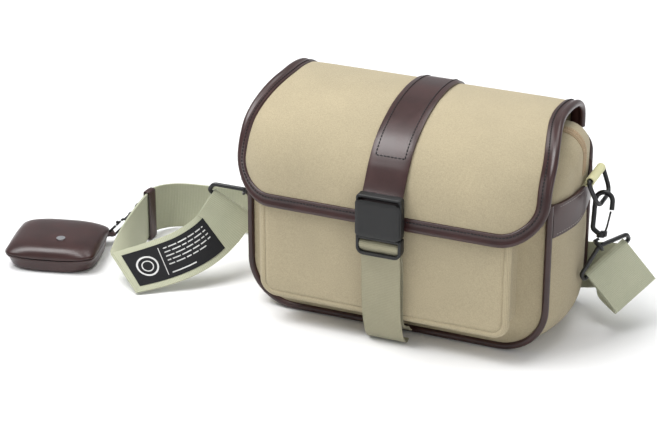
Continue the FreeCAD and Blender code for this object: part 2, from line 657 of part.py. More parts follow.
# ---- shoulder strap --------------------------------------------------------------------
# Stations along the webbing: centre, and the direction across its width.
CREASE = (V(-253.5, -72, 15.6), V(0.56, -0.52, -0.645))
STRAP_LEFT = [
    (V(-183.9, -6.4, 63.8), V(0.78, 0.25, -0.57)),
    (V(-189, -20, 51), V(0.70, 0.10, -0.70)),
    (V(-198, -34, 40), V(0.60, -0.20, -0.77)),
    (V(-214, -47, 29.5), V(0.57, -0.42, -0.70)),
    (V(-234, -59, 21), V(0.56, -0.46, -0.68)),
    (V(-250.5, -70.5, 16.2), V(0.56, -0.51, -0.65)),
]
STRAP_MAIN = [
    CREASE,
    (V(-268, -60, 20.5), V(0.42, -0.36, -0.83)),
    (V(-280, -36, 24.4), V(0.14, -0.10, -0.98)),
    (V(-286, -8, 25.6), V(0, 0, -1.0)),
    (V(-288, 14, 25.9), V(0, 0, -1.0)),
    (V(-286, 40, 25.9), V(0, 0, -1.0)),
    (V(-272, 58, 24.6), V(0, 0, -1.0)),
    (V(-240, 67, 24.0), V(0, 0.04, -1.0)),
    (V(-200, 71, 24.0), V(0, 0.06, -1.0)),
    (V(-150, 75, 24.0), V(0, 0.02, -1.0)),
    (V(-60, 79, 24.0), V(0, 0, -1.0)),
    (V(40, 78, 24.0), V(0, 0, -1.0)),
    (V(95, 74, 26.0), V(0, 0, -1.0)),
    (V(138, 68, 34.0), V(-0.12, -0.10, -0.98)),
]
STRAP_DOWN = V(0.60, 0.20, -0.77)     # the way the webbing leaves the right-hand bar
LAYER = 3.3                           # from the bar's axis to each layer's middle


def right_end():
    """The sewn-back stub, and the strap's own run under it that turns back behind the bag."""
    spec = HARDWARE[1]
    along = V(spec["along"]).normalize()
    down = (STRAP_DOWN - along * STRAP_DOWN.dot(along)).normalize()
    front = down.cross(along).normalize()

    def at(run, lift):
        return spec["bar"] + down * run + front * lift
    across = along * -1
    stub = [(at(run, LAYER), across) for run in (0.5, 22, 43)]
    turn = [((168, 51, 45), (-0.42, -0.46, -0.78)), ((155, 61, 40), (-0.30, -0.32, -0.90))]
    run_back = [(V(*c), V(*w)) for c, w in reversed(turn)]
    run_back += [(at(30, -28), V(-0.50, -0.54, -0.68)), (at(43, -22), across), (at(49, -13.5), across),
                 (at(44, -5.5), across), (at(30, -LAYER), across), (at(0.5, -LAYER), across)]
    return stub, run_back


FOLD_R = 4.3


def ribbon(stations, wide, thickness, lift=0.0):
    """Flat webbing ruled through its stations, moved lift along its face's normal."""
    wires = []
    count = len(stations)
    for i, (centre, across) in enumerate(stations):
        ahead = stations[min(i + 1, count - 1)][0] - stations[max(i - 1, 0)][0]
        across = V(across).normalize()
        normal = across.cross(ahead).normalize()
        middle = centre + normal * lift
        corners = [middle + across * (u * wide / 2) + normal * (v * thickness / 2)
                   for u, v in [(-1, -1), (1, -1), (1, 1), (-1, 1)]]
        wires.append(Part.makePolygon(corners + [corners[0]]))
    return Part.makeLoft(wires, True, True)


def fold_tube(side):
    """Webbing turned over the bar of the wire loop."""
    spec = HARDWARE[side]
    along = V(spec["along"]).normalize()
    start = spec["bar"] - along * (SHOULDER_WIDE / 2)
    outer = Part.makeCylinder(FOLD_R, SHOULDER_WIDE, start, along)
    return outer.cut(Part.makeCylinder(2.45, SHOULDER_WIDE, start, along)), along, start


def shoulder_strap():
    fold, along, start = fold_tube(-1)
    hole = Part.makeCylinder(2.45, SHOULDER_WIDE, start, along)
    left = ribbon(STRAP_LEFT, SHOULDER_WIDE, SHOULDER_WEB)
    keep("strap_left_end", left.cut(hole).fuse(fold))
    fold, along, start = fold_tube(1)
    hole = Part.makeCylinder(2.45, SHOULDER_WIDE, start, along)
    stub_stations, back_stations = right_end()
    main_run = ribbon(STRAP_MAIN + back_stations, SHOULDER_WIDE, SHOULDER_WEB)
    main_run = main_run.cut(parts["strap_left_end"])
    stub = ribbon(stub_stations, SHOULDER_WIDE, SHOULDER_WEB)
    keep("strap_main", main_run.cut(hole).fuse([fold, stub.cut(hole)]))

    first, last = STRAP_LEFT[0], STRAP_LEFT[1]
    start = (first[0] * 0.45 + last[0] * 0.55, first[1] * 0.45 + last[1] * 0.55)
    label = ribbon([start] + STRAP_LEFT[1:5] + [STRAP_LEFT[5]], LABEL_WIDE, 0.7, LABEL_LIFT)
    keep("strap_label", label)


# ---- strap keeper and the chain to the pouch ---------------------------------------------
def keeper_and_chain():
    at = V(-287, 27, 25.9)
    turn = FreeCAD.Matrix()
    turn.rotateZ(-math.atan2(2, 26))
    turn.move(at)
    band = box(-3.2, 3.2, -6, 6, -25.3, 25.3).cut(box(-1.5, 1.5, -7, 7, -23.6, 23.6))
    keeper = placed(band, turn)

    foot = V(-316.5, 3.5, 10.1)
    up = V(0.55, 0.573, 0.607).normalize()
    clip = frame_matrix(foot, Z_AXIS, up)
    wire = 1.2
    half = 3.2
    loop = tube(filleted([V(-half, 0, -half), V(half, 0, -half), V(half, 0, 18), V(-half, 0, 18)],
                         [half - 0.05] * 4, closed=True), wire)
    barrel = Part.makeCylinder(2.6, 5.5, V(0, 0, 17.5))
    ball = Part.makeSphere(3.4, V(0, 0, 25))
    eye = Part.makeTorus(3.6, wire, V(0, 0, 31), X_AXIS)
    slot = box(1.7, 5.2, -2, 2, 7.0, 14.1)
    keep("pouch_clip", placed(loop.fuse([barrel, ball, eye]).cut(slot), clip))
    trigger = Part.makeCylinder(1.1, 6.0, V(half, 0, 7.5))
    thumb = Part.makeSphere(1.6, V(half + 1.6, 0, 10.5))
    keep("clip_trigger", placed(trigger.fuse(thumb), clip))
    keep("chain_link", placed(Part.makeTorus(4.2, wire, V(0, 0, 36), Y_AXIS), clip))
    ring_z = 41.6
    keep("keeper_ring", placed(Part.makeTorus(4.2, wire, V(0, 0, ring_z), X_AXIS), clip))
    pin = foot + up * (ring_z + 4.2)
    lug = box(pin.x - 2.2, -289.0, pin.y - 2.6, pin.y + 2.6, pin.z - 2.4, pin.z + 2.4)
    room = placed(Part.makeTorus(4.2, wire + 0.6, V(0, 0, ring_z), X_AXIS), clip)
    keep("strap_keeper", keeper.fuse(lug.cut(placed(box(-1.5, 1.5, -7, 7, -23.6, 23.6), turn))).cut(room))
    joints["chain"] = dict(foot=foot, up=up, side=clip.multVec(Y_AXIS) - clip.multVec(V(0, 0, 0)))


# ---- pouch -----------------------------------------------------------------------------
def pouch():
    turn = FreeCAD.Matrix()
    turn.rotateZ(math.radians(POUCH_TURN))
    turn.move(POUCH_AT)

    def block(inset, low, high):
        wire = round_rect(POUCH_HALF_X - inset, -POUCH_HALF_Y + inset, POUCH_HALF_Y - inset,
                          POUCH_R - inset, POUCH_R - inset, lambda u, v: V(u, v, low))
        return Part.Face(wire).extrude(V(0, 0, high - low))
    base = block(0, 0, POUCH_SPLIT - 0.3).cut(block(POUCH_WALL, POUCH_WALL, POUCH_SPLIT + 1))
    lid = block(0, POUCH_SPLIT + 0.3, POUCH_HIGH)
    lid = lid.makeFillet(5, [e for e in lid.Edges if e.BoundBox.ZMin > POUCH_HIGH - 0.1])
    lid = lid.cut(block(POUCH_WALL, POUCH_SPLIT - 1, POUCH_HIGH - 5))
    keep("pouch_base", placed(base, turn))
    keep("pouch_lid", placed(lid, turn))
    stud = Part.makeCylinder(4.2, 1.4, V(8, -16, POUCH_HIGH))
    keep("pouch_stud", placed(stud, turn))
    tab = box(-0.6, 11.5, -5.5, 5.5, 9, 11.2)
    tab = tab.makeFillet(3, [e for e in tab.Edges if e.BoundBox.ZLength > 1 and e.BoundBox.XMin > 5])
    tab = tab.cut(Part.makeCylinder(3.2, 10, V(6.5, 0, 5)))
    corner = FreeCAD.Matrix()
    corner.rotateZ(math.radians(41))
    corner.move(V(36, 31, 0))
    keep("pouch_tab", placed(placed(tab, corner).cut(base), turn))


def main():
    dome = body_shell()
    padding()
    pocket(dome)
    pull_z = zip_slider()
    flap()
    closure()
    sides = [hang_set(side) for side in (1, -1)]
    keep("side_tabs", Part.makeCompound([tab for tab, _ in sides]))
    keep("ring_loops", Part.makeCompound([ring_loop for _, ring_loop in sides]))
    shoulder_strap()
    keeper_and_chain()
    pouch()
    tail_top = flap_offset(s_at_height(TAIL_TOP_Z), STRAP_X, TAIL_LIFT + LEATHER)
    print("pull z", round(pull_z, 2), "tail hinge", tail_top, "joints", joints)
    os.makedirs("parts", exist_ok=True)
    for name, shape in sorted(parts.items()):
        shape.exportStep("parts/" + name + ".step")
        b = shape.optimalBoundingBox(False)
        print(name, len(shape.Solids), shape.isValid(), round(shape.Volume / 1000, 2),
              [round(v, 1) for v in (b.XMin, b.YMin, b.ZMin, b.XMax, b.YMax, b.ZMax)])


main()
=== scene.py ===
import json
import math

import bmesh
import bpy
import numpy as np
from mathutils import Matrix, Vector, noise

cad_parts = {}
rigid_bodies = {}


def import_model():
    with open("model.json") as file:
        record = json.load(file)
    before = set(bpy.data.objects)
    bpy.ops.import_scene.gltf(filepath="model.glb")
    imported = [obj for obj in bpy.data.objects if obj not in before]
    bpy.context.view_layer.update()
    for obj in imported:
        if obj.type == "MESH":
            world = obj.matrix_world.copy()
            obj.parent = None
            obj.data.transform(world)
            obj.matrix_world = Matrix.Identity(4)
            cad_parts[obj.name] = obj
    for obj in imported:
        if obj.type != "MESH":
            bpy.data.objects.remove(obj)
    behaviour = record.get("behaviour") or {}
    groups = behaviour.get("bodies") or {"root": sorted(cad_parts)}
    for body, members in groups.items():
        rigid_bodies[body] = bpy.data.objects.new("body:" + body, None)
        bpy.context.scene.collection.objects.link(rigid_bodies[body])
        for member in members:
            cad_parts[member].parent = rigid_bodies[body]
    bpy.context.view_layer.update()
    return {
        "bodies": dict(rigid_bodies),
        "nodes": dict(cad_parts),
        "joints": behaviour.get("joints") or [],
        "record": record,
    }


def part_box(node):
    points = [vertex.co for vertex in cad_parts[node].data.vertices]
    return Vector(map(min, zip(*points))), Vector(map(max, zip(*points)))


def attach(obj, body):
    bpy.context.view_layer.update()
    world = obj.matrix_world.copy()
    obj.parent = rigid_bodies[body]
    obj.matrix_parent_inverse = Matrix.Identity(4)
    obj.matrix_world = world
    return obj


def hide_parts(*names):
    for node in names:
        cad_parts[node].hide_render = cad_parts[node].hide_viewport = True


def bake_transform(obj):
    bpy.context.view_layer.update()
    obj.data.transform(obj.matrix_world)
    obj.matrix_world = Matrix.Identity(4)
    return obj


# A canvas camera bag on a pale floor.  Lengths below are millimetres until a mesh is made.
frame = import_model()
nodes = frame["nodes"]
MM = 0.001

# ---- sizes, close to those of the CAD parts ---------------------------------------------
FRONT_Y, BACK_Y = -54.0, 58.0
SEAM_HALF, BULGE_HALF = 138.0, 151.0
FRONT_TOP, MID_TOP, BACK_TOP = 148.0, 192.0, 170.0
SEAM_LOW, MID_LOW = 1.4, -1.2
BOTTOM_R, TOP_R = 42.0, 20.0
LID_HALF = 111.0
ZIP_Y = 3.5
POCKET_HALF, POCKET_LOW, POCKET_TOP, POCKET_Y, POCKET_R = 116.0, 28.0, 144.0, -86.5, 14.0
FLAP_TOP_HALF, FLAP_HALF, FLAP_LOW, FLAP_CORNER_R = 134.0, 145.0, 116.0, 38.0
FLAP_FLAT_HALF = 100.0
SPLIT_Y = 46.0
STRAP_X, STRAP_WIDE, LEATHER = 3.0, 37.0, 2.6
SHOULDER_WIDE, SHOULDER_WEB = 46.0, 2.0
CLOTH, PROUD = 1.6, 0.2
PIPING_R, PIPING_HALF, PIPING_LOW, PIPING_OFF = 3.2, 140.0, 3.3, 1.0
BUCKLE_SEAM, BUCKLE_FRONT, BUCKLE_REAR, BUCKLE_HALF, BUCKLE_BAR = 112.0, -105.0, -96.0, 21.0, 2.8
RING_X, RING_Z, RING_R, RING_Y = 158.4, 149.0, 3.5, {-1: 8.0, 1: 16.5}
LINING = (127.2, 9.7, 138.0, 24.0, 1.0)
LINING_FRONT, LINING_REAR = -45.8, 49.2
POUCH_X, POUCH_Y, POUCH_TURN, POUCH_HALF = -350, -44, math.radians(14), (43.8, 38.4)
KEEPER_AT, KEEPER_HALF = (-287, 27, 25.9), 6.0
COIL_Y, TAPE_ENDS = {-1: 2.2, 1: 4.8}, (-1.0, 8.0)
FLAP_MIDDLE = [(62, 180.3), (60.5, 190.5), (51, 200), (32, 205.3), (11, 207), (-15, 205),
               (-42, 197.5), (-65, 185.5), (-81, 168), (-89, 150), (-91.8, 133), (-92, FLAP_LOW)]
FLAP_END = [(62, 180.3), (60.5, 189), (50, 198.4), (31, 204.6), (11, 206.3), (-13, 203.4),
            (-35, 194), (-53, 181), (-65, 164), (-69.5, 147), (-70.5, 132), (-70.5, FLAP_LOW)]


# ---- mesh helpers ----------------------------------------------------------------------
def new_mesh(name, points, faces, mat, uvs=None, smooth=True):
    """Object from points in millimetres; uvs holds one pair in metres for each point."""
    mesh = bpy.data.meshes.new(name)
    mesh.from_pydata([tuple(MM * c for c in p) for p in points], [], faces)
    mesh.validate()
    if uvs is not None:
        layer = mesh.uv_layers.new(name="UVMap")
        for loop in mesh.loops:
            layer.data[loop.index].uv = uvs[loop.vertex_index]
    if smooth:
        mesh.polygons.foreach_set("use_smooth", [True] * len(mesh.polygons))
    obj = bpy.data.objects.new(name, mesh)
    bpy.context.scene.collection.objects.link(obj)
    mesh.materials.append(mat)
    return obj


def unit(vector):
    return vector / np.linalg.norm(vector)


def grid_normals(grid, closed=False):
    if closed:
        across = np.roll(grid, -1, 1) - np.roll(grid, 1, 1)
    else:
        across = np.gradient(grid, axis=1)
    along = np.gradient(grid, axis=0)
    normals = np.cross(along, across)
    size = np.linalg.norm(normals, axis=2, keepdims=True)
    return normals / np.maximum(size, 1e-9)


def grid_uvs(grid):
    """Distances along both ways of a grid, in metres."""
    rows = np.linalg.norm(np.diff(grid, axis=0), axis=2).mean(1)
    columns = np.linalg.norm(np.diff(grid, axis=1), axis=2).mean(0)
    down = np.concatenate([[0], np.cumsum(rows)]) * MM
    over = np.concatenate([[0], np.cumsum(columns)]) * MM
    return [(u, v) for v in down for u in over]


def shell(name, grid, low, high, mat, flip=False):
    """Closed layer between two lifts over a grid of points."""
    grid = np.array(grid, float)
    rows, columns = grid.shape[:2]
    normals = grid_normals(grid) * (-1 if flip else 1)
    low, high = np.broadcast_to(low, (rows, columns)), np.broadcast_to(high, (rows, columns))
    top = (grid + normals * high[..., None]).reshape(-1, 3)
    bottom = (grid + normals * low[..., None]).reshape(-1, 3)
    count = rows * columns
    faces = []

    def at(i, j):
        return i * columns + j
    for i in range(rows - 1):
        for j in range(columns - 1):
            quad = (at(i, j), at(i + 1, j), at(i + 1, j + 1), at(i, j + 1))
            faces.append(quad[::-1] if flip else quad)
            under = tuple(k + count for k in quad)
            faces.append(under if flip else under[::-1])
    rim = [at(0, j) for j in range(columns)] + [at(i, columns - 1) for i in range(1, rows)]
    rim += [at(rows - 1, j) for j in range(columns - 2, -1, -1)] + [at(i, 0) for i in range(rows - 2, 0, -1)]
    for a, b in zip(rim, rim[1:] + rim[:1]):
        side = (a, b, b + count, a + count)
        faces.append(side[::-1] if flip else side)
    uvs = grid_uvs(grid)
    obj = new_mesh(name, np.vstack([top, bottom]), faces, mat, uvs + uvs)
    mark_sharp(obj)
    return obj


def mark_sharp(obj, angle=40):
    obj.data.set_sharp_from_angle(angle=math.radians(angle))


def sweep(name, path, frames, section, mat, closed=False, smooth_angle=60):
    """Section (a, b) pairs carried along a path; frames gives the a and b directions."""
    path = [np.array(p, float) for p in path]
    ring = len(section)
    points = []
    for here, (a_dir, b_dir) in zip(path, frames):
        points += [here + a * np.array(a_dir) + b * np.array(b_dir) for a, b in section]
    faces = []
    spans = len(path) if closed else len(path) - 1
    for i in range(spans):
        n = ((i + 1) % len(path)) * ring
        m = i * ring
        faces += [(m + k, m + (k + 1) % ring, n + (k + 1) % ring, n + k) for k in range(ring)]
    if not closed:
        faces += [tuple(range(ring))[::-1], tuple(range(len(points) - ring, len(points)))]
    lengths = np.concatenate([[0], np.cumsum([np.linalg.norm(b - a) for a, b in zip(path, path[1:])])])
    girth = np.concatenate([[0], np.cumsum([math.dist(p, q) for p, q in zip(section, section[1:])])])
    uvs = [(g * MM, d * MM) for d in lengths for g in girth]
    obj = new_mesh(name, points, faces, mat, uvs)
    fix_normals(obj)
    mark_sharp(obj, smooth_angle)
    return obj


def fix_normals(obj):
    work = bmesh.new()
    work.from_mesh(obj.data)
    bmesh.ops.recalc_face_normals(work, faces=work.faces)
    work.to_mesh(obj.data)
    work.free()


def transport(path, start):
    """Directions square to a path, turning as little as it allows."""
    path = [Vector(p) for p in path]
    side = Vector(start)
    frames = []
    for i in range(len(path)):
        ahead = (path[min(i + 1, len(path) - 1)] - path[max(i - 1, 0)]).normalized()
        side = (side - ahead * side.dot(ahead)).normalized()
        frames.append((tuple(side), tuple(ahead.cross(side))))
    return frames


def circle(radius, count=14):
    return [(radius * math.cos(2 * math.pi * k / count), radius * math.sin(2 * math.pi * k / count))
            for k in range(count)]


def tube(name, path, radius, mat, start=(0, 1, 0), count=14):
    return sweep(name, path, transport(path, start), circle(radius, count), mat)


def smooth_line(points, step):
    """Points along a smooth curve through the given ones."""
    pts = [np.array(p, float) for p in points]
    pts = [2 * pts[0] - pts[1]] + pts + [2 * pts[-1] - pts[-2]]
    out = []
    for a, b, c, d in zip(pts, pts[1:], pts[2:], pts[3:]):
        count = max(2, int(np.linalg.norm((c - b)[:3]) / step))
        for k in range(count):
            t = k / count
            out.append(0.5 * (2 * b + (c - a) * t + (2 * a - 5 * b + 4 * c - d) * t ** 2
                              + (3 * b - a - 3 * c + d) * t ** 3))
    return out + [pts[-2]]


def spaced(points, pitch):
    """Points along a polyline at an even pitch."""
    points = [np.array(p, float) for p in points]
    lengths = [np.linalg.norm((b - a)[:3]) for a, b in zip(points, points[1:])]
    total = np.concatenate([[0], np.cumsum(lengths)])
    count = max(1, int(total[-1] / pitch))
    out = []
    for k in range(count + 1):
        d = min(total[-1] * k / count, total[-1] - 1e-6)
        i = int(np.searchsorted(total, d, side="right")) - 1
        t = (d - total[i]) / max(lengths[i], 1e-9)
        out.append(points[i] * (1 - t) + points[i + 1] * t)
    return out


def small_bars(name, bars, mat):
    """One closed six-sided bar for each row of four (centre, a, b): a and b span its ring."""
    points, faces = [], []
    for bar in bars:
        base = len(points)
        for centre, a_dir, b_dir in bar:
            points += [centre + a_dir * math.cos(math.pi * k / 3) + b_dir * math.sin(math.pi * k / 3)
                       for k in range(6)]
        for m in (base, base + 6, base + 12):
            faces += [(m + k, m + (k + 1) % 6, m + 6 + (k + 1) % 6, m + 6 + k) for k in range(6)]
        faces += [tuple(range(base, base + 6))[::-1], tuple(range(base + 18, base + 24))]
    return new_mesh(name, points, faces, mat)


def stitch_row(name, lines, mat, pitch=3.0, length=2.0, radius=0.42):
    """Sewing thread along lines of (x, y, z, nx, ny, nz): one short bar to each stitch."""
    bars = []
    for line in lines:
        marks = spaced(line, pitch)
        for a, b in zip(marks, marks[1:]):
            middle, ahead = (a[:3] + b[:3]) / 2, (b[:3] - a[:3])
            ahead = ahead / max(np.linalg.norm(ahead), 1e-9)
            normal = unit((a[3:] + b[3:]) / 2)
            side = np.cross(ahead, normal)
            bars.append([(middle + ahead * (along * length) + normal * (lift * radius),
                          side * (radius * size), normal * (radius * size * 0.8))
                         for along, size, lift in ((-0.5, 0.5, -0.3), (-0.28, 1, 0.1),
                                                   (0.28, 1, 0.1), (0.5, 0.5, -0.3))])
    return small_bars(name, bars, mat)


class Spline:
    """Natural cubic curve through points, by the distance between them."""
    def __init__(self, points):
        self.p = np.array(points, float)
        gaps = np.linalg.norm(np.diff(self.p, axis=0), axis=1)
        self.t = np.concatenate([[0], np.cumsum(gaps)])
        n = len(self.p)
        matrix = np.eye(n)
        right = np.zeros((n, self.p.shape[1]))
        for i in range(1, n - 1):
            h0, h1 = gaps[i - 1], gaps[i]
            matrix[i, i - 1:i + 2] = h0, 2 * (h0 + h1), h1
            right[i] = 6 * ((self.p[i + 1] - self.p[i]) / h1 - (self.p[i] - self.p[i - 1]) / h0)
        self.m = np.linalg.solve(matrix, right)

    def at(self, share):
        """Point at a share of the length; below 0 the line runs straight down."""
        if share < 0:
            return self.p[0] + np.array([0, share * self.t[-1]])
        d = min(share, 1.0) * self.t[-1]
        i = min(int(np.searchsorted(self.t, d, side="right")) - 1, len(self.t) - 2)
        h = self.t[i + 1] - self.t[i]
        a, b = (self.t[i + 1] - d) / h, (d - self.t[i]) / h
        bend = ((a ** 3 - a) * self.m[i] + (b ** 3 - b) * self.m[i + 1]) * h * h / 6
        return a * self.p[i] + b * self.p[i + 1] + bend


# ---- materials ---------------------------------------------------------------------------
class Paint:
    """One procedural material and short ways to add its nodes."""
    def __init__(self, name, roughness, **fixed):
        self.mat = bpy.data.materials.new(name)
        self.mat.use_nodes = True
        self.nodes, self.links = self.mat.node_tree.nodes, self.mat.node_tree.links
        self.shader = self.nodes["Principled BSDF"]
        self.shader.inputs["Roughness"].default_value = roughness
        for key, value in fixed.items():
            self.shader.inputs[key.replace("_", " ")].default_value = value
        self.coords = self.nodes.new("ShaderNodeTexCoord")

    def node(self, kind, inputs=None, **settings):
        made = self.nodes.new("ShaderNode" + kind)
        for key, value in settings.items():
            setattr(made, key, value)
        for key, value in (inputs or {}).items():
            socket = made.inputs[key]
            if isinstance(value, bpy.types.NodeSocket):
                self.links.new(value, socket)
            else:
                socket.default_value = value
        return made

    def noise(self, scale, detail=4.0, roughness=0.55, space="Object"):
        made = self.node("TexNoise", {"Vector": self.coords.outputs[space], "Scale": scale,
                                      "Detail": detail, "Roughness": roughness})
        return made.outputs["Fac"]

    def waves(self, scale, direction, distortion=0.0, space="UV"):
        made = self.node("TexWave", {"Vector": self.coords.outputs[space], "Scale": scale,
                                     "Distortion": distortion, "Detail": 1.0, "Detail Scale": 2.0},
                         wave_type="BANDS", bands_direction=direction, wave_profile="SIN")
        return made.outputs["Fac"]

    def math(self, operation, a, b, clamp=False):
        return self.node("Math", {0: a, 1: b}, operation=operation, use_clamp=clamp).outputs[0]

    def ramp(self, factor, stops):
        made = self.node("ValToRGB", {"Fac": factor})
        band = made.color_ramp
        while len(band.elements) < len(stops):
            band.elements.new(0.5)
        for element, (place, colour) in zip(band.elements, stops):
            element.position = place
            element.color = (*colour, 1)
        return made.outputs["Color"]

    def mix(self, factor, a, b, blend="MIX"):
        made = self.node("Mix", {"Factor": factor, 6: a, 7: b}, data_type="RGBA", blend_type=blend)
        return made.outputs[2]

    def colour(self, socket):
        self.links.new(socket, self.shader.inputs["Base Color"])

    def rough(self, factor, low, high):
        made = self.node("MapRange", {"Value": factor, "To Min": low, "To Max": high})
        self.links.new(made.outputs[0], self.shader.inputs["Roughness"])

    def bump(self, height, strength, distance):
        made = self.node("Bump", {"Height": height, "Strength": strength, "Distance": distance})
        self.links.new(made.outputs[0], self.shader.inputs["Normal"])


def shade(colour, factor):
    return tuple(c * factor for c in colour)


def wave_scale(pitch):
    """Wave Texture scale that repeats every pitch metres."""
    return 2 * math.pi / (20 * pitch)


def cloth(name, colour, thread=0.0009, contrast=0.30, rough=0.9, sheen=0.12):
    """Plain weave: warp and weft ribs, slubs in the yarn, and a slow change of tone."""
    paint = Paint(name, rough, Sheen_Weight=sheen, Sheen_Roughness=0.5, Specular_IOR_Level=0.25)
    turns = wave_scale(thread)
    warp = paint.waves(turns, "X", 0.6)
    weft = paint.waves(turns, "Y", 0.6)
    weave = paint.math("MULTIPLY", warp, weft)
    slub = paint.noise(900, 2.0)
    tone = paint.noise(14, 3.0)
    yarn = paint.math("ADD", paint.math("MULTIPLY", weave, 0.5), paint.math("MULTIPLY", slub, 0.5))
    fine = paint.ramp(yarn, [(0.15, shade(colour, 1 - contrast)), (0.75, shade(colour, 1 + contrast * 0.6))])
    slow = paint.ramp(tone, [(0.3, (0.93, 0.93, 0.92)), (0.7, (1.05, 1.04, 1.02))])
    paint.colour(paint.mix(1.0, fine, slow, "MULTIPLY"))
    paint.rough(slub, rough - 0.08, rough + 0.05)
    paint.bump(paint.math("ADD", weave, paint.math("MULTIPLY", slub, 0.8)), 0.75, 0.00026)
    return paint.mat


def hide(name, colour, rough=0.30):
    """Coated leather: fine pebble grain, polish that comes and goes, and a tone that changes at random."""
    paint = Paint(name, rough, Coat_Weight=0.14, Coat_Roughness=0.25, Specular_IOR_Level=0.42)
    cells = paint.node("TexVoronoi", {"Vector": paint.coords.outputs["Object"], "Scale": 950.0,
                                      "Randomness": 1.0}, feature="DISTANCE_TO_EDGE").outputs["Distance"]
    fine = paint.noise(2200, 2.0)
    tone = paint.noise(40, 5.0, 0.6)
    grain = paint.math("ADD", cells, paint.math("MULTIPLY", fine, 0.35))
    paint.colour(paint.ramp(tone, [(0.25, shade(colour, 0.62)), (0.55, colour), (0.85, shade(colour, 1.5))]))
    paint.rough(tone, rough - 0.08, rough + 0.14)
    paint.bump(grain, 0.28, 0.0002)
    return paint.mat


def webbing(name, colour, rib=0.0016, contrast=0.16):
    """Woven tape: ribs along its length and a finer pick across them."""
    paint = Paint(name, 0.78, Sheen_Weight=0.15, Sheen_Roughness=0.45, Specular_IOR_Level=0.3)
    ribs = paint.waves(wave_scale(rib), "Y", 0.2)
    picks = paint.waves(wave_scale(rib * 0.7), "X", 0.4)
    slub = paint.noise(700, 3.0)
    weave = paint.math("ADD", paint.math("MULTIPLY", ribs, 0.55), paint.math("MULTIPLY", picks, 0.45))
    both = paint.math("ADD", paint.math("MULTIPLY", weave, 0.6), paint.math("MULTIPLY", slub, 0.4))
    fine = paint.ramp(both, [(0.2, shade(colour, 1 - contrast)), (0.8, shade(colour, 1 + contrast * 0.7))])
    slow = paint.ramp(paint.noise(18, 3.0), [(0.3, (0.92, 0.93, 0.92)), (0.7, (1.05, 1.04, 1.04))])
    paint.colour(paint.mix(1.0, fine, slow, "MULTIPLY"))
    paint.bump(weave, 0.7, 0.0003)
    return paint.mat


def hard(name, colour, rough, metallic=0.0, coat=0.0, grain=1400.0, depth=0.00006):
    """Moulded plastic or plated metal: fine grain, and handling marks as a tone that changes at random."""
    paint = Paint(name, rough, Metallic=metallic, Coat_Weight=coat, Coat_Roughness=0.2)
    tone = paint.noise(60, 6.0, 0.65)
    paint.colour(paint.ramp(tone, [(0.35, shade(colour, 0.8)), (0.6, colour), (0.8, shade(colour, 1.45))]))
    paint.rough(tone, rough - 0.08, rough + 0.12)
    paint.bump(paint.noise(grain, 2.0), 0.35, depth)
    return paint.mat


CANVAS = (0.455, 0.39, 0.262)
BROWN = (0.036, 0.0125, 0.0115)
SAGE = (0.43, 0.44, 0.32)
MAT = {
    "canvas": cloth("canvas", CANVAS),
    "canvas_inside": cloth("canvas_inside", (0.42, 0.36, 0.25)),
    "lining": cloth("lining", (0.16, 0.15, 0.135), thread=0.0007),
    "divider_cloth": cloth("divider_cloth", (0.15, 0.14, 0.12), thread=0.0012, sheen=0.4),
    "foam": cloth("foam", (0.12, 0.12, 0.12), thread=0.002),
    "leather": hide("leather", BROWN),
    "leather_tab": hide("leather_tab", shade(BROWN, 1.1), 0.36),
    "webbing": webbing("webbing", SAGE),
    "front_webbing": webbing("front_webbing", (0.32, 0.30, 0.205)),
    "loop_webbing": webbing("loop_webbing", (0.70, 0.68, 0.40), rib=0.0013, contrast=0.1),
    "label_cloth": cloth("label_cloth", (0.010, 0.010, 0.012), thread=0.0006, rough=0.7, sheen=0.02),
    "print": hard("print", (0.60, 0.60, 0.59), 0.6),
    "zip_coil": cloth("zip_coil", (0.40, 0.30, 0.185), thread=0.0007),
    "zip_teeth": hard("zip_teeth", (0.44, 0.32, 0.20), 0.5),
    "black_plastic": hard("black_plastic", (0.0045, 0.0047, 0.005), 0.5),
    "black_metal": hard("black_metal", (0.008, 0.008, 0.009), 0.34, metallic=0.2, coat=0.2, grain=900),
    "magnet": hard("magnet", (0.55, 0.55, 0.56), 0.3, metallic=1.0),
    "snap_metal": hard("snap_metal", (0.68, 0.68, 0.70), 0.22, metallic=1.0),
    "dark_thread": hard("dark_thread", (0.012, 0.009, 0.010), 0.7),
    "grey_thread": hard("grey_thread", (0.30, 0.27, 0.25), 0.75),
    "khaki_thread": hard("khaki_thread", (0.30, 0.245, 0.15), 0.8),
}


def add(obj, body, slot, *replaced):
    """The piece rides on a body and stands for CAD nodes, which it hides. The slot is not used."""
    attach(obj, body)
    if replaced:
        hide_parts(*replaced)
    return obj


def fold_across(obj, a, b, start, end, slot, *replaced):
    """The piece's transform is baked into its mesh and the CAD nodes it stands for are hidden. The bodies a
    and b, start and end are not used.
    """
    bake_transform(obj)
    if replaced:
        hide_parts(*replaced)
    return obj


for slot_name in ("black_metal", "black_plastic", "magnet", "snap_metal"):
    pieces = [p["node"] for p in frame["record"]["subparts"] if p["material_slot"] == slot_name]
    for node_name in pieces:
        mesh = nodes[node_name].data
        mesh.materials.clear()
        mesh.materials.append(MAT[slot_name])
        mesh.polygons.foreach_set("use_smooth", [True] * len(mesh.polygons))
        mark_sharp(nodes[node_name], 35)


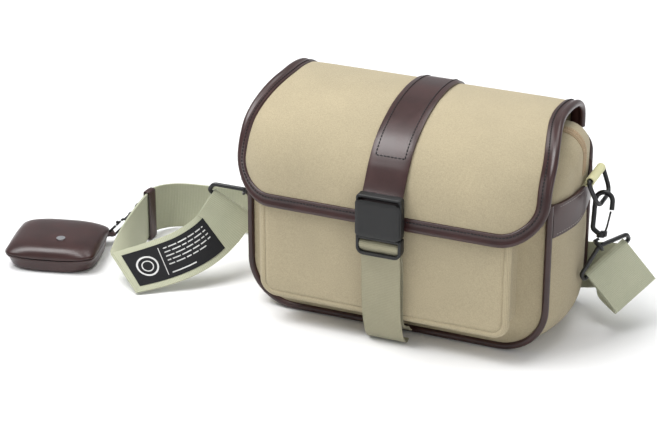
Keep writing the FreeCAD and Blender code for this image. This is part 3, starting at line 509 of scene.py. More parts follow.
# ---- body surfaces -------------------------------------------------------------------------
def hinged(obj, slot, behind=(), ahead=()):
    """The strip behind the flap's hinge line is cut off as a piece of its own, left on no body; the rest
    rides on the flap.
    """
    rest = obj.copy()
    rest.data = obj.data.copy()
    rest.name = obj.name + "_ahead"
    bpy.context.scene.collection.objects.link(rest)
    for piece, rear in ((obj, True), (rest, False)):
        work = bmesh.new()
        work.from_mesh(piece.data)
        gone = [f for f in work.faces if (f.calc_center_median().y > SPLIT_Y * MM) != rear]
        bmesh.ops.delete(work, geom=gone, context="FACES")
        work.to_mesh(piece.data)
        work.free()
    fold_across(obj, "bag", "flap", (0, 66, 173), (0, 66, 189), slot, *behind)
    add(rest, "flap", slot, *ahead)


def across_depth(y, front, middle, back):
    """Quadratic through the front seam, the bulge and the back seam."""
    t = (y - FRONT_Y) / (BACK_Y - FRONT_Y)
    bend = 2 * (front + back - 2 * middle)
    return front * (1 - t) + back * t - bend * t * (1 - t)


def section_at(y):
    half = across_depth(y, SEAM_HALF, BULGE_HALF, SEAM_HALF)
    low = across_depth(y, SEAM_LOW, MID_LOW, SEAM_LOW)
    high = across_depth(y, FRONT_TOP, MID_TOP, BACK_TOP)
    return half, low, high


def side_x(y, z):
    """Half width of the gusset's skin at a height."""
    half, low, high = section_at(y)
    if z > high - TOP_R:
        return half - TOP_R + math.sqrt(max(0.0, TOP_R ** 2 - (z - high + TOP_R) ** 2))
    if z < low + BOTTOM_R:
        return half - BOTTOM_R + math.sqrt(max(0.0, BOTTOM_R ** 2 - (low + BOTTOM_R - z) ** 2))
    return half


def side_outline(y, x_top, x_low):
    """From the top at x_top round the right-hand side to the underside at x_low."""
    half, low, high = section_at(y)
    points = [(x_top + (half - TOP_R - x_top) * k / 4, high) for k in range(4)]
    points += [(half - TOP_R + TOP_R * math.sin(a), high - TOP_R + TOP_R * math.cos(a))
               for a in np.linspace(0, math.pi / 2, 9)]
    points += [(half, high - TOP_R + (low + BOTTOM_R - high + TOP_R) * k / 22) for k in range(1, 22)]
    points += [(half - BOTTOM_R + BOTTOM_R * math.cos(a), low + BOTTOM_R - BOTTOM_R * math.sin(a))
               for a in np.linspace(0, math.pi / 2, 12)]
    points += [(half - BOTTOM_R + (x_low - half + BOTTOM_R) * k / 2, low) for k in (1, 2)]
    return points


def wrinkle(point, scale, seed):
    return noise.noise(Vector(point) * scale + Vector((seed, 0, 0)))


def gusset(side, word):
    grid = []
    for y in np.linspace(FRONT_Y, BACK_Y, 36):
        row = []
        for x, z in side_outline(y, LID_HALF + 0.6, 95.0):
            ease = math.sin(math.pi * (y - FRONT_Y) / (BACK_Y - FRONT_Y))
            soft = 1.6 * wrinkle((side * x, y * 1.4, z), 0.022, 3) + 0.5 * wrinkle((x, y, z), 0.07, 9)
            soft = ease * soft
            across = (y + 20 + (z - 170) * 0.25) / 5.5
            fold = -2.0 * ease * math.exp(-across ** 2) * max(0.0, min(1, (z - 118) / 40))
            calm = 1 - math.exp(-((y - ZIP_Y) / 8.0) ** 2)
            row.append((side * (x + (soft + fold) * calm * (z > 40) * (z < 180)), y, max(z, 0.05)))
        grid.append(row)
    obj = shell("gusset_" + word + "_canvas", grid, -CLOTH, PROUD, MAT["canvas"], flip=side > 0)
    add(obj, "bag", "canvas", "gusset_" + word)


def top_strip(name, y0, y1, half, body, node, rows=14):
    grid = []
    for y in np.linspace(y0, y1, rows):
        high = section_at(y)[2]
        grid.append([(x, y, high + 0.7 * wrinkle((x, y, 0), 0.03, 5)) for x in np.linspace(-half, half, 60)])
    obj = shell(name, grid, -CLOTH, PROUD, MAT["canvas"], flip=True)
    add(obj, body, "canvas", *node)


def rounded_half(z, half, low, high, r_low, r_high):
    """Half width of a rounded rectangle at height z."""
    if z < low + r_low:
        return half - r_low + math.sqrt(max(0.0, r_low ** 2 - (low + r_low - z) ** 2))
    if z > high - r_high:
        return half - r_high + math.sqrt(max(0.0, r_high ** 2 - (z - high + r_high) ** 2))
    return half


def edge_distance(x, z, half, low, high, r_low, r_high):
    """Distance inside the outline of a rounded rectangle."""
    r = r_low if z < (low + high) / 2 else r_high
    dx = abs(x) - (half - r)
    dz = abs(z - (low + high) / 2) - ((high - low) / 2 - r)
    outside = math.hypot(max(dx, 0), max(dz, 0)) + min(max(dx, dz), 0)
    return max(0.0, r - outside)


def eased(count, power=1.7):
    """Values from -1 to 1, closer together at both ends."""
    return [math.copysign(1 - (1 - abs(t)) ** power, t) for t in np.linspace(-1, 1, count)]


def panel(name, spec, depth, mat, thickness, facing, rows=70, columns=84):
    """Rounded rectangular panel facing -Y or +Y; depth(distance, x, z) gives its y."""
    low, high = spec[1:3]
    grid = []
    for t in eased(rows):
        z = (low + high) / 2 + t * (high - low) / 2
        wide = rounded_half(z, *spec)
        grid.append([(u * wide, depth(edge_distance(u * wide, z, *spec), u * wide, z), z)
                     for u in eased(columns)])
    return shell(name, grid, -thickness, 0, mat, flip=facing > 0)


def arc_y(distance, reach, rise):
    t = min(1.0, distance / reach)
    return rise * math.sqrt(max(0.0, 1 - (1 - t) ** 2))


def body():
    for side, word in ((-1, "left"), (1, "right")):
        gusset(side, word)
    top_strip("front_facing_canvas", FRONT_Y, -43.2, LID_HALF + 0.8, "bag", ("top_facings",), 5)
    top_strip("rear_facing_canvas", 48.8, BACK_Y, LID_HALF + 0.8, "bag", (), 5)
    top_strip("front_lid_canvas", -42.7, 1.6, LID_HALF, "lid_front", ("zip_lid_front",))
    top_strip("rear_lid_canvas", 5.4, 48.2, LID_HALF, "lid_rear", ("zip_lid_rear",))

    front = (SEAM_HALF, SEAM_LOW + 0.6, FRONT_TOP, BOTTOM_R, 10.0)

    def front_y(distance, x, z):
        swell = math.sin(math.pi / 2 * min(1.0, distance / 46)) ** 2
        return FRONT_Y + 0.6 - 12.6 * swell - 0.8 * wrinkle((x, 0, z), 0.02, 2) * min(1, distance / 20)
    add(panel("front_canvas", front, front_y, MAT["canvas"], 1.6, -1), "bag", "canvas", "front_panel")
    back = (SEAM_HALF, SEAM_LOW + 0.6, BACK_TOP, BOTTOM_R, TOP_R)

    def back_y(distance, x, z):
        return BACK_Y + 0.4 + arc_y(distance, 30, 1.7) + 0.4 * wrinkle((x, 0, z), 0.02, 4)
    add(panel("back_canvas", back, back_y, MAT["canvas"], 1.6, 1), "bag", "canvas", "back_panel")
    base = [[(x, y, 0.9) for x in np.linspace(-97, 97, 30)] for y in np.linspace(FRONT_Y, BACK_Y, 16)]
    add(shell("base_canvas", base, -0.85, 0.9, MAT["canvas"], flip=True), "bag", "canvas", "base_panel")


def u_path(y, half, low, top, radius):
    """Down one side, round the two lower corners and up the other side."""
    points = [(-half, y, z) for z in np.linspace(top, low + radius, 24)]
    points += [(-half + radius - radius * math.cos(a), y, low + radius - radius * math.sin(a))
               for a in np.linspace(0, math.pi / 2, 14)[1:]]
    points += [(x, y, low) for x in np.linspace(-half + radius, half - radius, 40)[1:]]
    points += [(half - radius + radius * math.sin(a), y, low + radius - radius * math.cos(a))
               for a in np.linspace(0, math.pi / 2, 14)[1:]]
    points += [(half, y, z) for z in np.linspace(low + radius, top, 24)[1:]]
    return points


def piping():
    front = tube("front_piping_leather", u_path(FRONT_Y - PIPING_OFF, PIPING_HALF, PIPING_LOW, FRONT_TOP - 2,
                                                BOTTOM_R), PIPING_R, MAT["leather"])
    add(front, "bag", "leather", "piping")
    rise = BACK_TOP + 1.0 - TOP_R
    y = BACK_Y + PIPING_OFF
    arc = [(-PIPING_HALF + TOP_R - TOP_R * math.sin(a), y, rise + TOP_R * math.cos(a))
           for a in np.linspace(0, math.pi / 2, 10)[:-1]]
    line = arc + u_path(y, PIPING_HALF, PIPING_LOW, rise, BOTTOM_R)
    line += [(-x, y, z) for x, y, z in reversed(arc)]
    back = tube("back_piping_leather", line, PIPING_R, MAT["leather"])
    add(back, "bag", "leather")


# ---- front pocket ------------------------------------------------------------------------
def pocket():
    spec = (POCKET_HALF, POCKET_LOW, POCKET_TOP, POCKET_R, 10.0)

    def face_y(distance, x, z):
        crown = 1.4 * (1 - (x / POCKET_HALF) ** 2) * max(0.0, 1 - ((z - 85) / 60) ** 2)
        lip = arc_y(distance, 2.2, 1.8)
        groove = 0.95 * math.exp(-((distance - 4.6) / 1.1) ** 2)
        creases = 0.35 * wrinkle((x, 0, z), 0.03, 7) * min(1, distance / 12)
        return POCKET_Y + 1.8 - lip + groove - crown - creases
    add(panel("pocket_face_canvas", spec, face_y, MAT["canvas"], 1.4, -1, 90, 110), "bag", "canvas",
        "pocket_face")
    wall = []
    for point in u_path(0, POCKET_HALF - 0.6, POCKET_LOW + 0.6, POCKET_TOP - 2, POCKET_R):
        x, _, z = point
        row = []
        for t in np.linspace(0, 1, 12):
            pull = -1.8 * math.sin(math.pi * t) + 1.1 * math.exp(-((t - 0.86) / 0.06) ** 2)
            cx, cz = x / POCKET_HALF, (z - 86) / 58
            row.append((x + pull * cx * (abs(cx) > 0.85), POCKET_Y + 1.0 + 28.5 * t,
                        z + pull * cz * (z < 60)))
        wall.append(row)
    add(shell("pocket_gusset_canvas", wall, -1.4, 0, MAT["canvas"], flip=True), "bag", "canvas",
        "pocket_gusset")
    ridge_path = u_path(POCKET_Y + 1.2, POCKET_HALF, POCKET_LOW, POCKET_TOP - 2, POCKET_R)
    add(tube("pocket_edge_fold", ridge_path, 1.55, MAT["canvas"], count=10), "bag", "canvas")

    def seam(inset, lift, x_from):
        line = u_path(0, POCKET_HALF - inset, POCKET_LOW + inset, POCKET_TOP - 6, POCKET_R - inset)
        return [(x, face_y(inset, x, z) - lift, z, 0, -1, 0) for x, _, z in line if x > x_from]
    line, second = seam(4.6, 0.15, -POCKET_HALF), seam(8.4, 0.1, 96)
    add(stitch_row("pocket_topstitch", [line, second], MAT["khaki_thread"], 3.2, 2.3, 0.42), "bag", "canvas")


# ---- flap ----------------------------------------------------------------------------------
MIDDLE, END = Spline(FLAP_MIDDLE), Spline(FLAP_END)


def flap_skin(s, x):
    share = max(0.0, (abs(x) - FLAP_FLAT_HALF) / (FLAP_HALF - FLAP_FLAT_HALF)) ** 2
    y, z = MIDDLE.at(s) * (1 - share) + END.at(s) * share
    if 0.15 < s < 0.97:
        sag = 1.1 * wrinkle((x, s * 300, 0), 0.016, 1) + 0.35 * wrinkle((x, s * 300, 5), 0.05, 6)
        fade = min(1.0, (s - 0.15) / 0.2, (0.97 - s) / 0.1)
        y, z = y - sag * fade * 0.5, z + sag * fade * 0.5
    return np.array([x, y, z])


def flap_frame(s, x):
    """Skin point, outward normal, and the direction down the flap."""
    step = 0.004
    down = flap_skin(s + step, x) - flap_skin(s - step, x)
    over = flap_skin(s, x + 1.0) - flap_skin(s, x - 1.0)
    return flap_skin(s, x), unit(np.cross(down, over)), unit(down)


def s_at_height(z, x=0.0):
    low, high = 0.5, 1.0
    for _ in range(24):
        middle = (low + high) / 2
        low, high = (middle, high) if flap_skin(middle, x)[2] > z else (low, middle)
    return (low + high) / 2


def flap_half(s):
    ease = min(1.0, max(0.0, (s - 0.30) / 0.40))
    return FLAP_TOP_HALF + (FLAP_HALF - FLAP_TOP_HALF) * ease * ease * (3 - 2 * ease)


def flap_edge_half(s):
    """Half width of the flap, with its rounded lower corners."""
    z = MIDDLE.at(s)[1]
    if s < 0.6 or z > FLAP_LOW + FLAP_CORNER_R:
        return flap_half(s)
    rise = FLAP_LOW + FLAP_CORNER_R - z
    return FLAP_HALF - FLAP_CORNER_R + math.sqrt(max(0.0, FLAP_CORNER_R ** 2 - rise ** 2))


def flap_outline():
    """(s, x) pairs round the free edge, from the back on the left to the back on the right."""
    s_corner = s_at_height(FLAP_LOW + FLAP_CORNER_R, FLAP_HALF)
    left = [(s, -flap_half(s)) for s in np.linspace(HEM_S, s_corner, 90)]
    centre = FLAP_HALF - FLAP_CORNER_R
    for angle in np.linspace(0, math.pi / 2, 16)[1:]:
        x = -centre - FLAP_CORNER_R * math.cos(angle)
        left.append((s_at_height(FLAP_LOW + FLAP_CORNER_R * (1 - math.sin(angle)), x), x))
    low = [(1.0, x) for x in np.linspace(-centre, centre, 60)[1:-1]]
    return left + low + [(s, -x) for s, x in reversed(left)]


HEM_S = -0.034


def flap():
    rows = list(np.linspace(HEM_S - 0.01, 0.72, 64)) + [0.72 + 0.276 * math.sin(a)
                                                      for a in np.linspace(0, math.pi / 2, 34)[1:]]
    grid = [[flap_skin(s, u * (flap_edge_half(s) - 2.5)) for u in eased(70, 1.3)] for s in rows]
    canvas = shell("flap_canvas", grid, -1.7, 0, MAT["canvas"])
    hinged(canvas, "canvas", ("flap_hem",), ("flap_panel",))
    inner_rows = [s for s in rows if s > 0.01]
    inner = [[flap_skin(s, u * (flap_edge_half(s) - 4)) for u in eased(50, 1.3)] for s in inner_rows]
    add(shell("flap_lining_cloth", inner, -2.5, -1.75, MAT["canvas_inside"]), "flap", "lining", "flap_lining")

    outline = flap_outline()
    path, frames, thread = [], [], []
    found = [flap_frame(s, x) for s, x in outline]
    for i, (point, normal, _) in enumerate(found):
        ahead = unit(found[min(i + 1, len(found) - 1)][0] - found[max(i - 1, 0)][0])
        inward = unit(np.cross(normal, ahead))
        if np.dot(inward, flap_skin(outline[i][0], outline[i][1] * 0.9) - point) < 0 and outline[i][0] < 0.95:
            inward = -inward
        path.append(point)
        frames.append((inward, normal))
        thread.append((*(point + inward * 9.6 + normal * 1.3), *normal))
    bead_r = 3.3
    bead = [(bead_r + bead_r * math.cos(a), -0.9 + bead_r * math.sin(a))
            for a in np.linspace(0.85, 2 * math.pi - 0.85, 16)]
    section = [(13.0, 0.1), (12.5, 0.95), (9.8, 1.05), (7.6, 1.0), (6.3, 1.15)] + bead
    section += [(6.6, -3.7), (12.4, -3.6), (13.0, -3.0)]
    binding = sweep("flap_edging_leather", path, frames, section, MAT["leather"], smooth_angle=50)
    hinged(binding, "leather", (), ("flap_binding",))
    row = stitch_row("flap_edging_stitches", [thread], MAT["dark_thread"], 3.1, 2.4, 0.62)
    hinged(row, "leather")


# ---- closure -------------------------------------------------------------------------------
def band_grid(rows, wide, centre_x, columns=9, crown=0.0):
    """Grid across X for rows of (y, z, ny, nz)."""
    grid = []
    for y, z, ny, nz in rows:
        line = []
        for u in eased(columns, 1.5):
            lift = crown * (1 - u * u)
            line.append((centre_x + u * wide / 2, y + ny * lift, z + nz * lift))
        grid.append(line)
    return grid


def rows_from(points):
    """(y, z, ny, nz) along a line of (y, z), with the normal on its left."""
    out = []
    for i, point in enumerate(points):
        ahead = unit(np.array(points[min(i + 1, len(points) - 1)]) - np.array(points[max(i - 1, 0)]))
        out.append((point[0], point[1], ahead[1], -ahead[0]))
    return out


def strap_line():
    """(y, z) on the flap's skin under the strap, then free down into the buckle."""
    on_flap = [flap_skin(s, STRAP_X)[1:] for s in np.linspace(HEM_S - 0.02, s_at_height(172, STRAP_X), 90)]
    free = []
    for z, lift in ((167, 0.3), (161, 0.7), (155, 1.6)):
        point, normal, _ = flap_frame(s_at_height(z, STRAP_X), STRAP_X)
        free.append(tuple((point + normal * lift)[1:]))
    free += [(-92.4, 150), (-96.4, 144.5), (-98.9, 139.0), (-99.3, 133.5)]
    return on_flap, [p[:2] for p in smooth_line([(*on_flap[-1], 0)] + [(*p, 0) for p in free], 1.5)]


def edge_round(rows, columns, thickness, bite=0.7):
    """Layer heights that drop towards both long edges."""
    lift = np.array([thickness - bite * abs(u) ** 8 for u in eased(columns, 1.5)])
    return np.broadcast_to(lift, (rows, columns))


def rounded_frame(name, low, high, r_low, r_high):
    """Upright rounded rectangular frame, its bars softened at every edge."""
    half, wide, y0, deep = BUCKLE_HALF, BUCKLE_BAR, BUCKLE_FRONT, BUCKLE_REAR - BUCKLE_FRONT
    corners = ((half - r_high, high - r_high, r_high, 0), (-half + r_high, high - r_high, r_high, 90),
               (-half + r_low, low + r_low, r_low, 180), (half - r_low, low + r_low, r_low, 270))
    outline = []
    for cx, cz, r, start in corners:
        turns = [math.radians(start + a) for a in np.linspace(0, 90, 7)]
        outline += [(STRAP_X + cx + r * math.cos(a), y0, cz + r * math.sin(a)) for a in turns]
    frames = []
    for i in range(len(outline)):
        ahead, before = outline[(i + 1) % len(outline)], outline[i - 1]
        tx, tz = ahead[0] - before[0], ahead[2] - before[2]
        size = math.hypot(tx, tz)
        frames.append(((-tz / size, 0, tx / size), (0, 1, 0)))
    section = [(1.1, 0), (wide - 0.5, 0), (wide, 0.5), (wide, deep - 0.5), (wide - 0.5, deep), (1.1, deep),
               (0.3, deep - 0.4), (0, deep - 1.1), (0, 1.1), (0.3, 0.4)]
    return sweep(name, outline, frames, section, MAT["black_plastic"], closed=True, smooth_angle=50)


def buckle():
    """Magnetic buckle: a framed plate above the seam, a barred frame below it."""
    seam, front = BUCKLE_SEAM, BUCKLE_FRONT
    frame = rounded_frame("buckle_upper_frame", seam + 0.3, 150.0, 2.0, 3.6)

    def plate_y(distance, x, z):
        return front + 0.7 - 0.45 * min(1.0, distance / 0.8)
    plate = panel("buckle_upper_plate", (18.8, seam + 1.6, 144.6, 1.2, 1.2), plate_y,
                  MAT["black_plastic"], 3.4, -1, 16, 16)
    plate.data.transform(Matrix.Translation((STRAP_X * MM, 0, 0)))
    lip = round_edge_bar("buckle_seam_rim", 19.0, front + 0.9, seam + 1.4, 1.0)
    add(join([frame, plate, lip], "buckle_upper_body"), "tail", "black_plastic", "buckle_upper")
    frame = rounded_frame("buckle_lower_frame", 93.0, seam - 0.3, 7.0, 1.6)
    bars = [round_edge_bar("buckle_lower_bar", 20.0, -100.6, 103.0, 1.7),
            round_edge_bar("buckle_lower_rim", 19.0, front + 1.6, seam - 2.6, 1.4)]
    add(join([frame] + bars, "buckle_lower_body"), "front_web", "black_plastic", "buckle_lower")


def round_edge_bar(name, half, y, z, radius):
    line = [(STRAP_X + u, y, z) for u in np.linspace(-half, half, 4)]
    return tube(name, line, radius, MAT["black_plastic"], start=(0, 0, 1))


def closure():
    on_flap, free = strap_line()
    whole = [(p[0], p[1]) for p in on_flap] + [(p[0], p[1]) for p in free[1:]]
    split = 52
    rear, front = rows_from(whole)[:split + 1], rows_from(whole)[split:]
    for name, rows, bodies, start, end, stands in (
            ("closure_leather_rear", rear, ("bag", "flap"), (0, 66, 173), (0, 66, 189), ("strap_anchor",)),
            ("closure_leather", front, ("flap", "tail"), (3, -82, 175), (3, -82, 168),
             ("closure_strap", "closure_tail"))):
        grid = band_grid([(y, z, -ny, -nz) for y, z, ny, nz in rows], STRAP_WIDE, STRAP_X, 13)
        high = edge_round(len(rows), 13, LEATHER)
        obj = shell(name, grid, 0.1, high, MAT["leather"])
        fold_across(obj, *bodies, start, end, "leather", *stands)
    threads = []
    rows = rows_from(whole)
    count = next(i for i, r in enumerate(rows) if i > 40 and r[1] < 174)
    for side in (-1, 1):
        threads.append([(STRAP_X + side * 13.4, y + ny * (LEATHER + 0.1), z + nz * (LEATHER + 0.1), 0, ny, nz)
                        for y, z, ny, nz in rows[8:count]])
    y, z, ny, nz = rows[count - 1]
    threads.append([(STRAP_X + u, y + ny * (LEATHER + 0.1), z + nz * (LEATHER + 0.1), 0, ny, nz)
                    for u in np.linspace(-13.4, 13.4, 8)])
    row = stitch_row("closure_stitches", threads, MAT["dark_thread"], 3.2, 2.5, 0.6)
    hinged(row, "leather")

    buckle()
    loop = [(-66, 7.4), (-70, 10), (-74, 14.5), (-82, 18), (-88.1, 25.5), (-88.8, 38), (-89.0, 60),
            (-91, 82), (-96.2, 94), (-97.6, 101), (-98.4, 105), (-100.8, 106.0), (-103.2, 104.6),
            (-103.4, 101.2), (-101.2, 97.8), (-98.9, 92), (-97.0, 80), (-96.4, 58), (-94.6, 34),
            (-88.9, 14.3), (-84, 6), (-80, 2.2), (-76, 1.3), (-73, 2.4)]
    line = [p[:2] for p in smooth_line([(*p, 0) for p in loop], 2.2)]
    grid = band_grid(rows_from(line), STRAP_WIDE - 1, STRAP_X, 11)
    web = shell("front_webbing", grid, -0.65, 0.65, MAT["front_webbing"])
    fold_across(web, "bag", "front_web", (3, -89.3, 7), (3, -89.3, 22), "webbing",
                "closure_webbing", "webbing_foot")


# ---- webbing and hardware ------------------------------------------------------------------
def ribbon(name, stations, wide, thickness, mat, lift=0.0, step=3.0, columns=13, curl=0.0):
    """Flat webbing through stations of (centre, direction across)."""
    line = smooth_line([(*c, *unit(np.array(w)) * 10) for c, w in stations], step)
    grid = ribbon_grid(line, wide, columns, lift, curl)
    return shell(name, grid, -thickness / 2, thickness / 2, mat), line


def ribbon_grid(line, wide, columns, lift=0.0, curl=0.0):
    grid = []
    for i, here in enumerate(line):
        ahead = line[min(i + 1, len(line) - 1)][:3] - line[max(i - 1, 0)][:3]
        across = unit(here[3:])
        normal = unit(np.cross(across, ahead))
        grid.append([here[:3] + across * (u * wide / 2) + normal * (lift + curl * u * u)
                     for u in eased(columns, 1.4)])
    return grid


LEFT_BAR, LEFT_ALONG = np.array((-183.0, -4.0, 66.0)), np.array((0.7816, 0.2505, -0.5712))
RIGHT_BAR, RIGHT_ALONG = np.array((172.0, 19.0, 68.0)), np.array((0.5604, 0.6005, 0.5704))
STRAP_LEFT = [((-189, -20, 51), (0.70, 0.10, -0.70)), ((-198, -34, 40), (0.60, -0.20, -0.77)),
              ((-214, -48, 29.5), (0.57, -0.40, -0.71)), ((-235, -62, 21.5), (0.62, -0.40, -0.67)),
              ((-259.5, -79.5, 15.6), (0.74, -0.35, -0.58))]
STRAP_MAIN = [((-261.0, -79.3, 17.4), (0.74, -0.35, -0.58)), ((-267, -58, 20.6), (0.60, -0.27, -0.75)),
              ((-275.5, -28, 22.8), (0.34, -0.14, -0.93)), ((-283, 0, 25.0), (0.10, -0.04, -0.99)),
              ((-287, 20, 25.9), (0, 0, -1.0)), ((-287, 40, 25.9), (0, 0, -1.0)),
              ((-272, 58, 24.6), (0, 0, -1.0)), ((-240, 67, 24.0), (0, 0.04, -1.0)),
              ((-200, 71, 24.0), (0, 0.06, -1.0)), ((-150, 75, 24.0), (0, 0.02, -1.0)),
              ((-60, 79, 24.0), (0, 0, -1.0)), ((40, 78, 24.0), (0, 0, -1.0)),
              ((95, 74, 26.0), (0, 0, -1.0)), ((138, 68, 34.0), (-0.12, -0.10, -0.98)),
              ((155, 61, 40), (-0.30, -0.32, -0.90)), ((168, 51, 45), (-0.42, -0.46, -0.78))]
LAYER = 3.3


def square_to(vector, along):
    return unit(np.array(vector, float) - along * np.dot(vector, along))


def round_bar(bar, down, front, across, lift=LAYER, count=7):
    """Stations half way round a bar, from the front layer over the top to the rear one."""
    return [(bar - down * (lift * math.sin(a)) + front * (lift * math.cos(a)), across)
            for a in np.linspace(0.12, math.pi - 0.12, count)]


def shoulder_strap():
    down = square_to((0.60, 0.20, -0.77), RIGHT_ALONG)
    front = np.cross(down, RIGHT_ALONG)
    across = -RIGHT_ALONG

    def at(run, lift):
        return RIGHT_BAR + down * run + front * lift
    stub = [(at(run, lift), across) for run, lift in ((43.5, 2.4), (30, 2.9), (14, 3.2), (4, LAYER))]
    under = [(at(run, lift), across) for run, lift in ((4, -LAYER), (16, -LAYER), (30, -LAYER), (44, -5.5),
                                                       (49, -13.5), (43, -22))]
    under += [(at(30, -28), (-0.50, -0.54, -0.68))]
    stations = stub + round_bar(RIGHT_BAR, down, front, across) + under + STRAP_MAIN[::-1]
    run, _ = ribbon("shoulder_strap_webbing", stations, SHOULDER_WIDE, SHOULDER_WEB, MAT["webbing"])
    add(run, "bag", "webbing", "strap_main")

    down = square_to((-0.27, -0.73, -0.63), LEFT_ALONG)
    front = np.cross(down, LEFT_ALONG)
    across = LEFT_ALONG

    def at_left(run, lift):
        return LEFT_BAR + down * run + front * lift
    hem = [(at_left(26, -1.6), across), (at_left(14, -2.6), across), (at_left(4, -LAYER), across)]
    begin = [(at_left(4, LAYER), across), (at_left(12, 2.2), across)]
    stations = hem + round_bar(LEFT_BAR, down, -front, across) + begin + STRAP_LEFT
    run, line = ribbon("strap_label_run", stations, SHOULDER_WIDE, SHOULDER_WEB, MAT["webbing"], step=2.0)
    add(run, "bag", "webbing", "strap_left_end")
    crease, across = np.array(STRAP_LEFT[-1][0]), np.array(STRAP_LEFT[-1][1])
    reach = SHOULDER_WIDE / 2
    roll = [crease + unit(across) * t for t in np.linspace(-reach, reach, 12)]
    add(tube("strap_crease", roll, 1.25, MAT["webbing"]), "bag", "webbing")
    label([p for p in line if p[0] < -191])


def label(line):
    """Black cloth label with two plain rings, a rule and plain dashes."""
    steps = [np.linalg.norm(b[:3] - a[:3]) for a, b in zip(line, line[1:])]
    lengths = np.concatenate([[0], np.cumsum(steps)])
    total = lengths[-1]
    first, last = 3.0, total - 6.0

    def place(along, over, lift):
        d = min(max(along, 0.0), total - 0.01)
        i = int(np.searchsorted(lengths, d, side="right")) - 1
        t = (d - lengths[i]) / (lengths[i + 1] - lengths[i])
        here = line[i] * (1 - t) + line[i + 1] * t
        ahead = line[i + 1][:3] - line[i][:3]
        across = unit(here[3:])
        return here[:3] + across * over + unit(np.cross(across, ahead)) * lift

    def patch(name, a0, a1, b0, b1, low, high, mat, rows=12):
        grid = [[place(a, b, 0) for b in np.linspace(b0, b1, 5)] for a in np.linspace(a0, a1, rows)]
        return shell(name, grid, low, high, mat)
    cloth_piece = patch("strap_label_cloth", first, last, -17.5, 17.5, 1.0, 1.5, MAT["label_cloth"], 40)
    add(cloth_piece, "bag", "label_cloth", "strap_label")
    bits = []
    ink = (1.45, 1.62, MAT["print"])
    end = last - 5
    bits.append(patch("label_rule", end - 27, end - 26.3, -14, 14, *ink, 3))
    widths = (44, 52, 49, 55, 38)
    for k, width in enumerate(widths):
        width = min(width, end - 36 - first)
        over = -12 + 4.1 * k
        step = 0
        while step < width:
            dash = min(3.4 + 2.3 * ((k + step) % 3), width - step)
            start = end - 31 - step
            bits.append(patch("label_dash", start - dash, start, over - 0.55, over + 0.55, *ink, 3))
            step += dash + 1.6
    bits.append(patch("label_dash", end - 55, end - 31, 12.2, 13.4, *ink, 4))
    for inner, outer in ((4.6, 5.6), (8.6, 10.2)):
        ring = [[place(end - 11.5 + r * math.cos(a), r * math.sin(a), 0)
                 for a in np.linspace(0, 2 * math.pi, 37)] for r in (inner, outer)]
        bits.append(shell("label_ring", ring, *ink))
    joined = join(bits, "label_print")
    add(joined, "bag", "label_cloth")


def join(objects, name):
    with bpy.context.temp_override(active_object=objects[0], selected_editable_objects=objects):
        bpy.ops.object.join()
    objects[0].name = name
    return objects[0]


def side_pieces():
    for side, word in ((-1, "left"), (1, "right")):
        ring_y = RING_Y[side]
        grid = []
        for y in np.linspace(FRONT_Y + 3.5, BACK_Y - 3.5, 40):
            near = min(1.0, abs(y - ring_y) / 34)
            low = 114 + 9 * (1 - near) ** 1.5
            grid.append([(side * side_x(y, z), y, z) for z in np.linspace(low, 144, 10)])
        tab = shell("side_tab_" + word + "_leather", grid, 1.0, 3.6, MAT["leather_tab"], flip=side < 0)
        add(tab, "bag", "leather", *(("side_tabs",) if side > 0 else ()))
        threads = []
        for z_row in (9, 0):
            line = []
            for row in grid[1:-1]:
                x, y, z = row[z_row]
                z = z - 2.6 if z_row else z + 2.6
                if abs(y - ring_y) > 20:
                    line.append((side * (side_x(y, z) + 3.7), y, z, side, 0, 0))
                elif line:
                    threads.append(line)
                    line = []
            threads.append(line)
        threads = [t for t in threads if len(t) > 2]
        sewn = stitch_row("side_tab_" + word + "_stitches", threads, MAT["grey_thread"], 3.4, 2.4, 0.4)
        add(sewn, "bag", "leather")
        line = [(side_x(ring_y, z) + 1.2, z) for z in np.linspace(121, 143, 8)]
        line += [(RING_X + RING_R * math.cos(a), RING_Z + RING_R * math.sin(a))
                 for a in np.linspace(-0.9, math.pi + 0.6, 14)]
        line += [(side_x(ring_y, 141) + 0.9, 141)]
        grid = [[(side * x, ring_y + v, z) for v in np.linspace(-17, 17, 9)] for x, z in line]
        loop = shell("ring_loop_" + word + "_webbing", grid, -0.6, 0.6, MAT["loop_webbing"])
        add(loop, "bag", "loop_webbing", *(("ring_loops",) if side > 0 else ()))


# ---- zip -----------------------------------------------------------------------------------
def teeth(name, line, mat):
    """Coil turns along a line of (x, y, z, nx, ny, nz, ty): each a small bent bar."""
    bars = []
    for mark in spaced(line, 1.9):
        here, normal, over = mark[:3], unit(mark[3:6]), np.array((0, mark[6], 0))
        ahead = np.cross(normal, over)
        bars.append([(here + over * reach + normal * lift, ahead * size, normal * size)
                     for reach, lift, size in ((-0.2, 0.1, 0.5), (0.4, 0.9, 0.62),
                                               (1.6, 1.0, 0.62), (2.3, 0.2, 0.5))])
    return small_bars(name, bars, mat)


def zip_line(y, half, tail):
    """(x, y, z, nx, ny, nz) along the zip; tail adds the stretch down one gusset."""
    out = []
    section = section_at(y)
    if tail:
        points = side_outline(y, LID_HALF + 0.6, 95)
        keep = [(x, z) for x, z in points if z > 152]
        for i, (x, z) in enumerate(keep):
            a, b = keep[max(i - 1, 0)], keep[min(i + 1, len(keep) - 1)]
            out.append((tail * x, y, z, tail * -(b[1] - a[1]), 0, b[0] - a[0]))
        return out
    return [(x, y, section[2], 0, 0, 1) for x in np.linspace(-half, half, 30)]


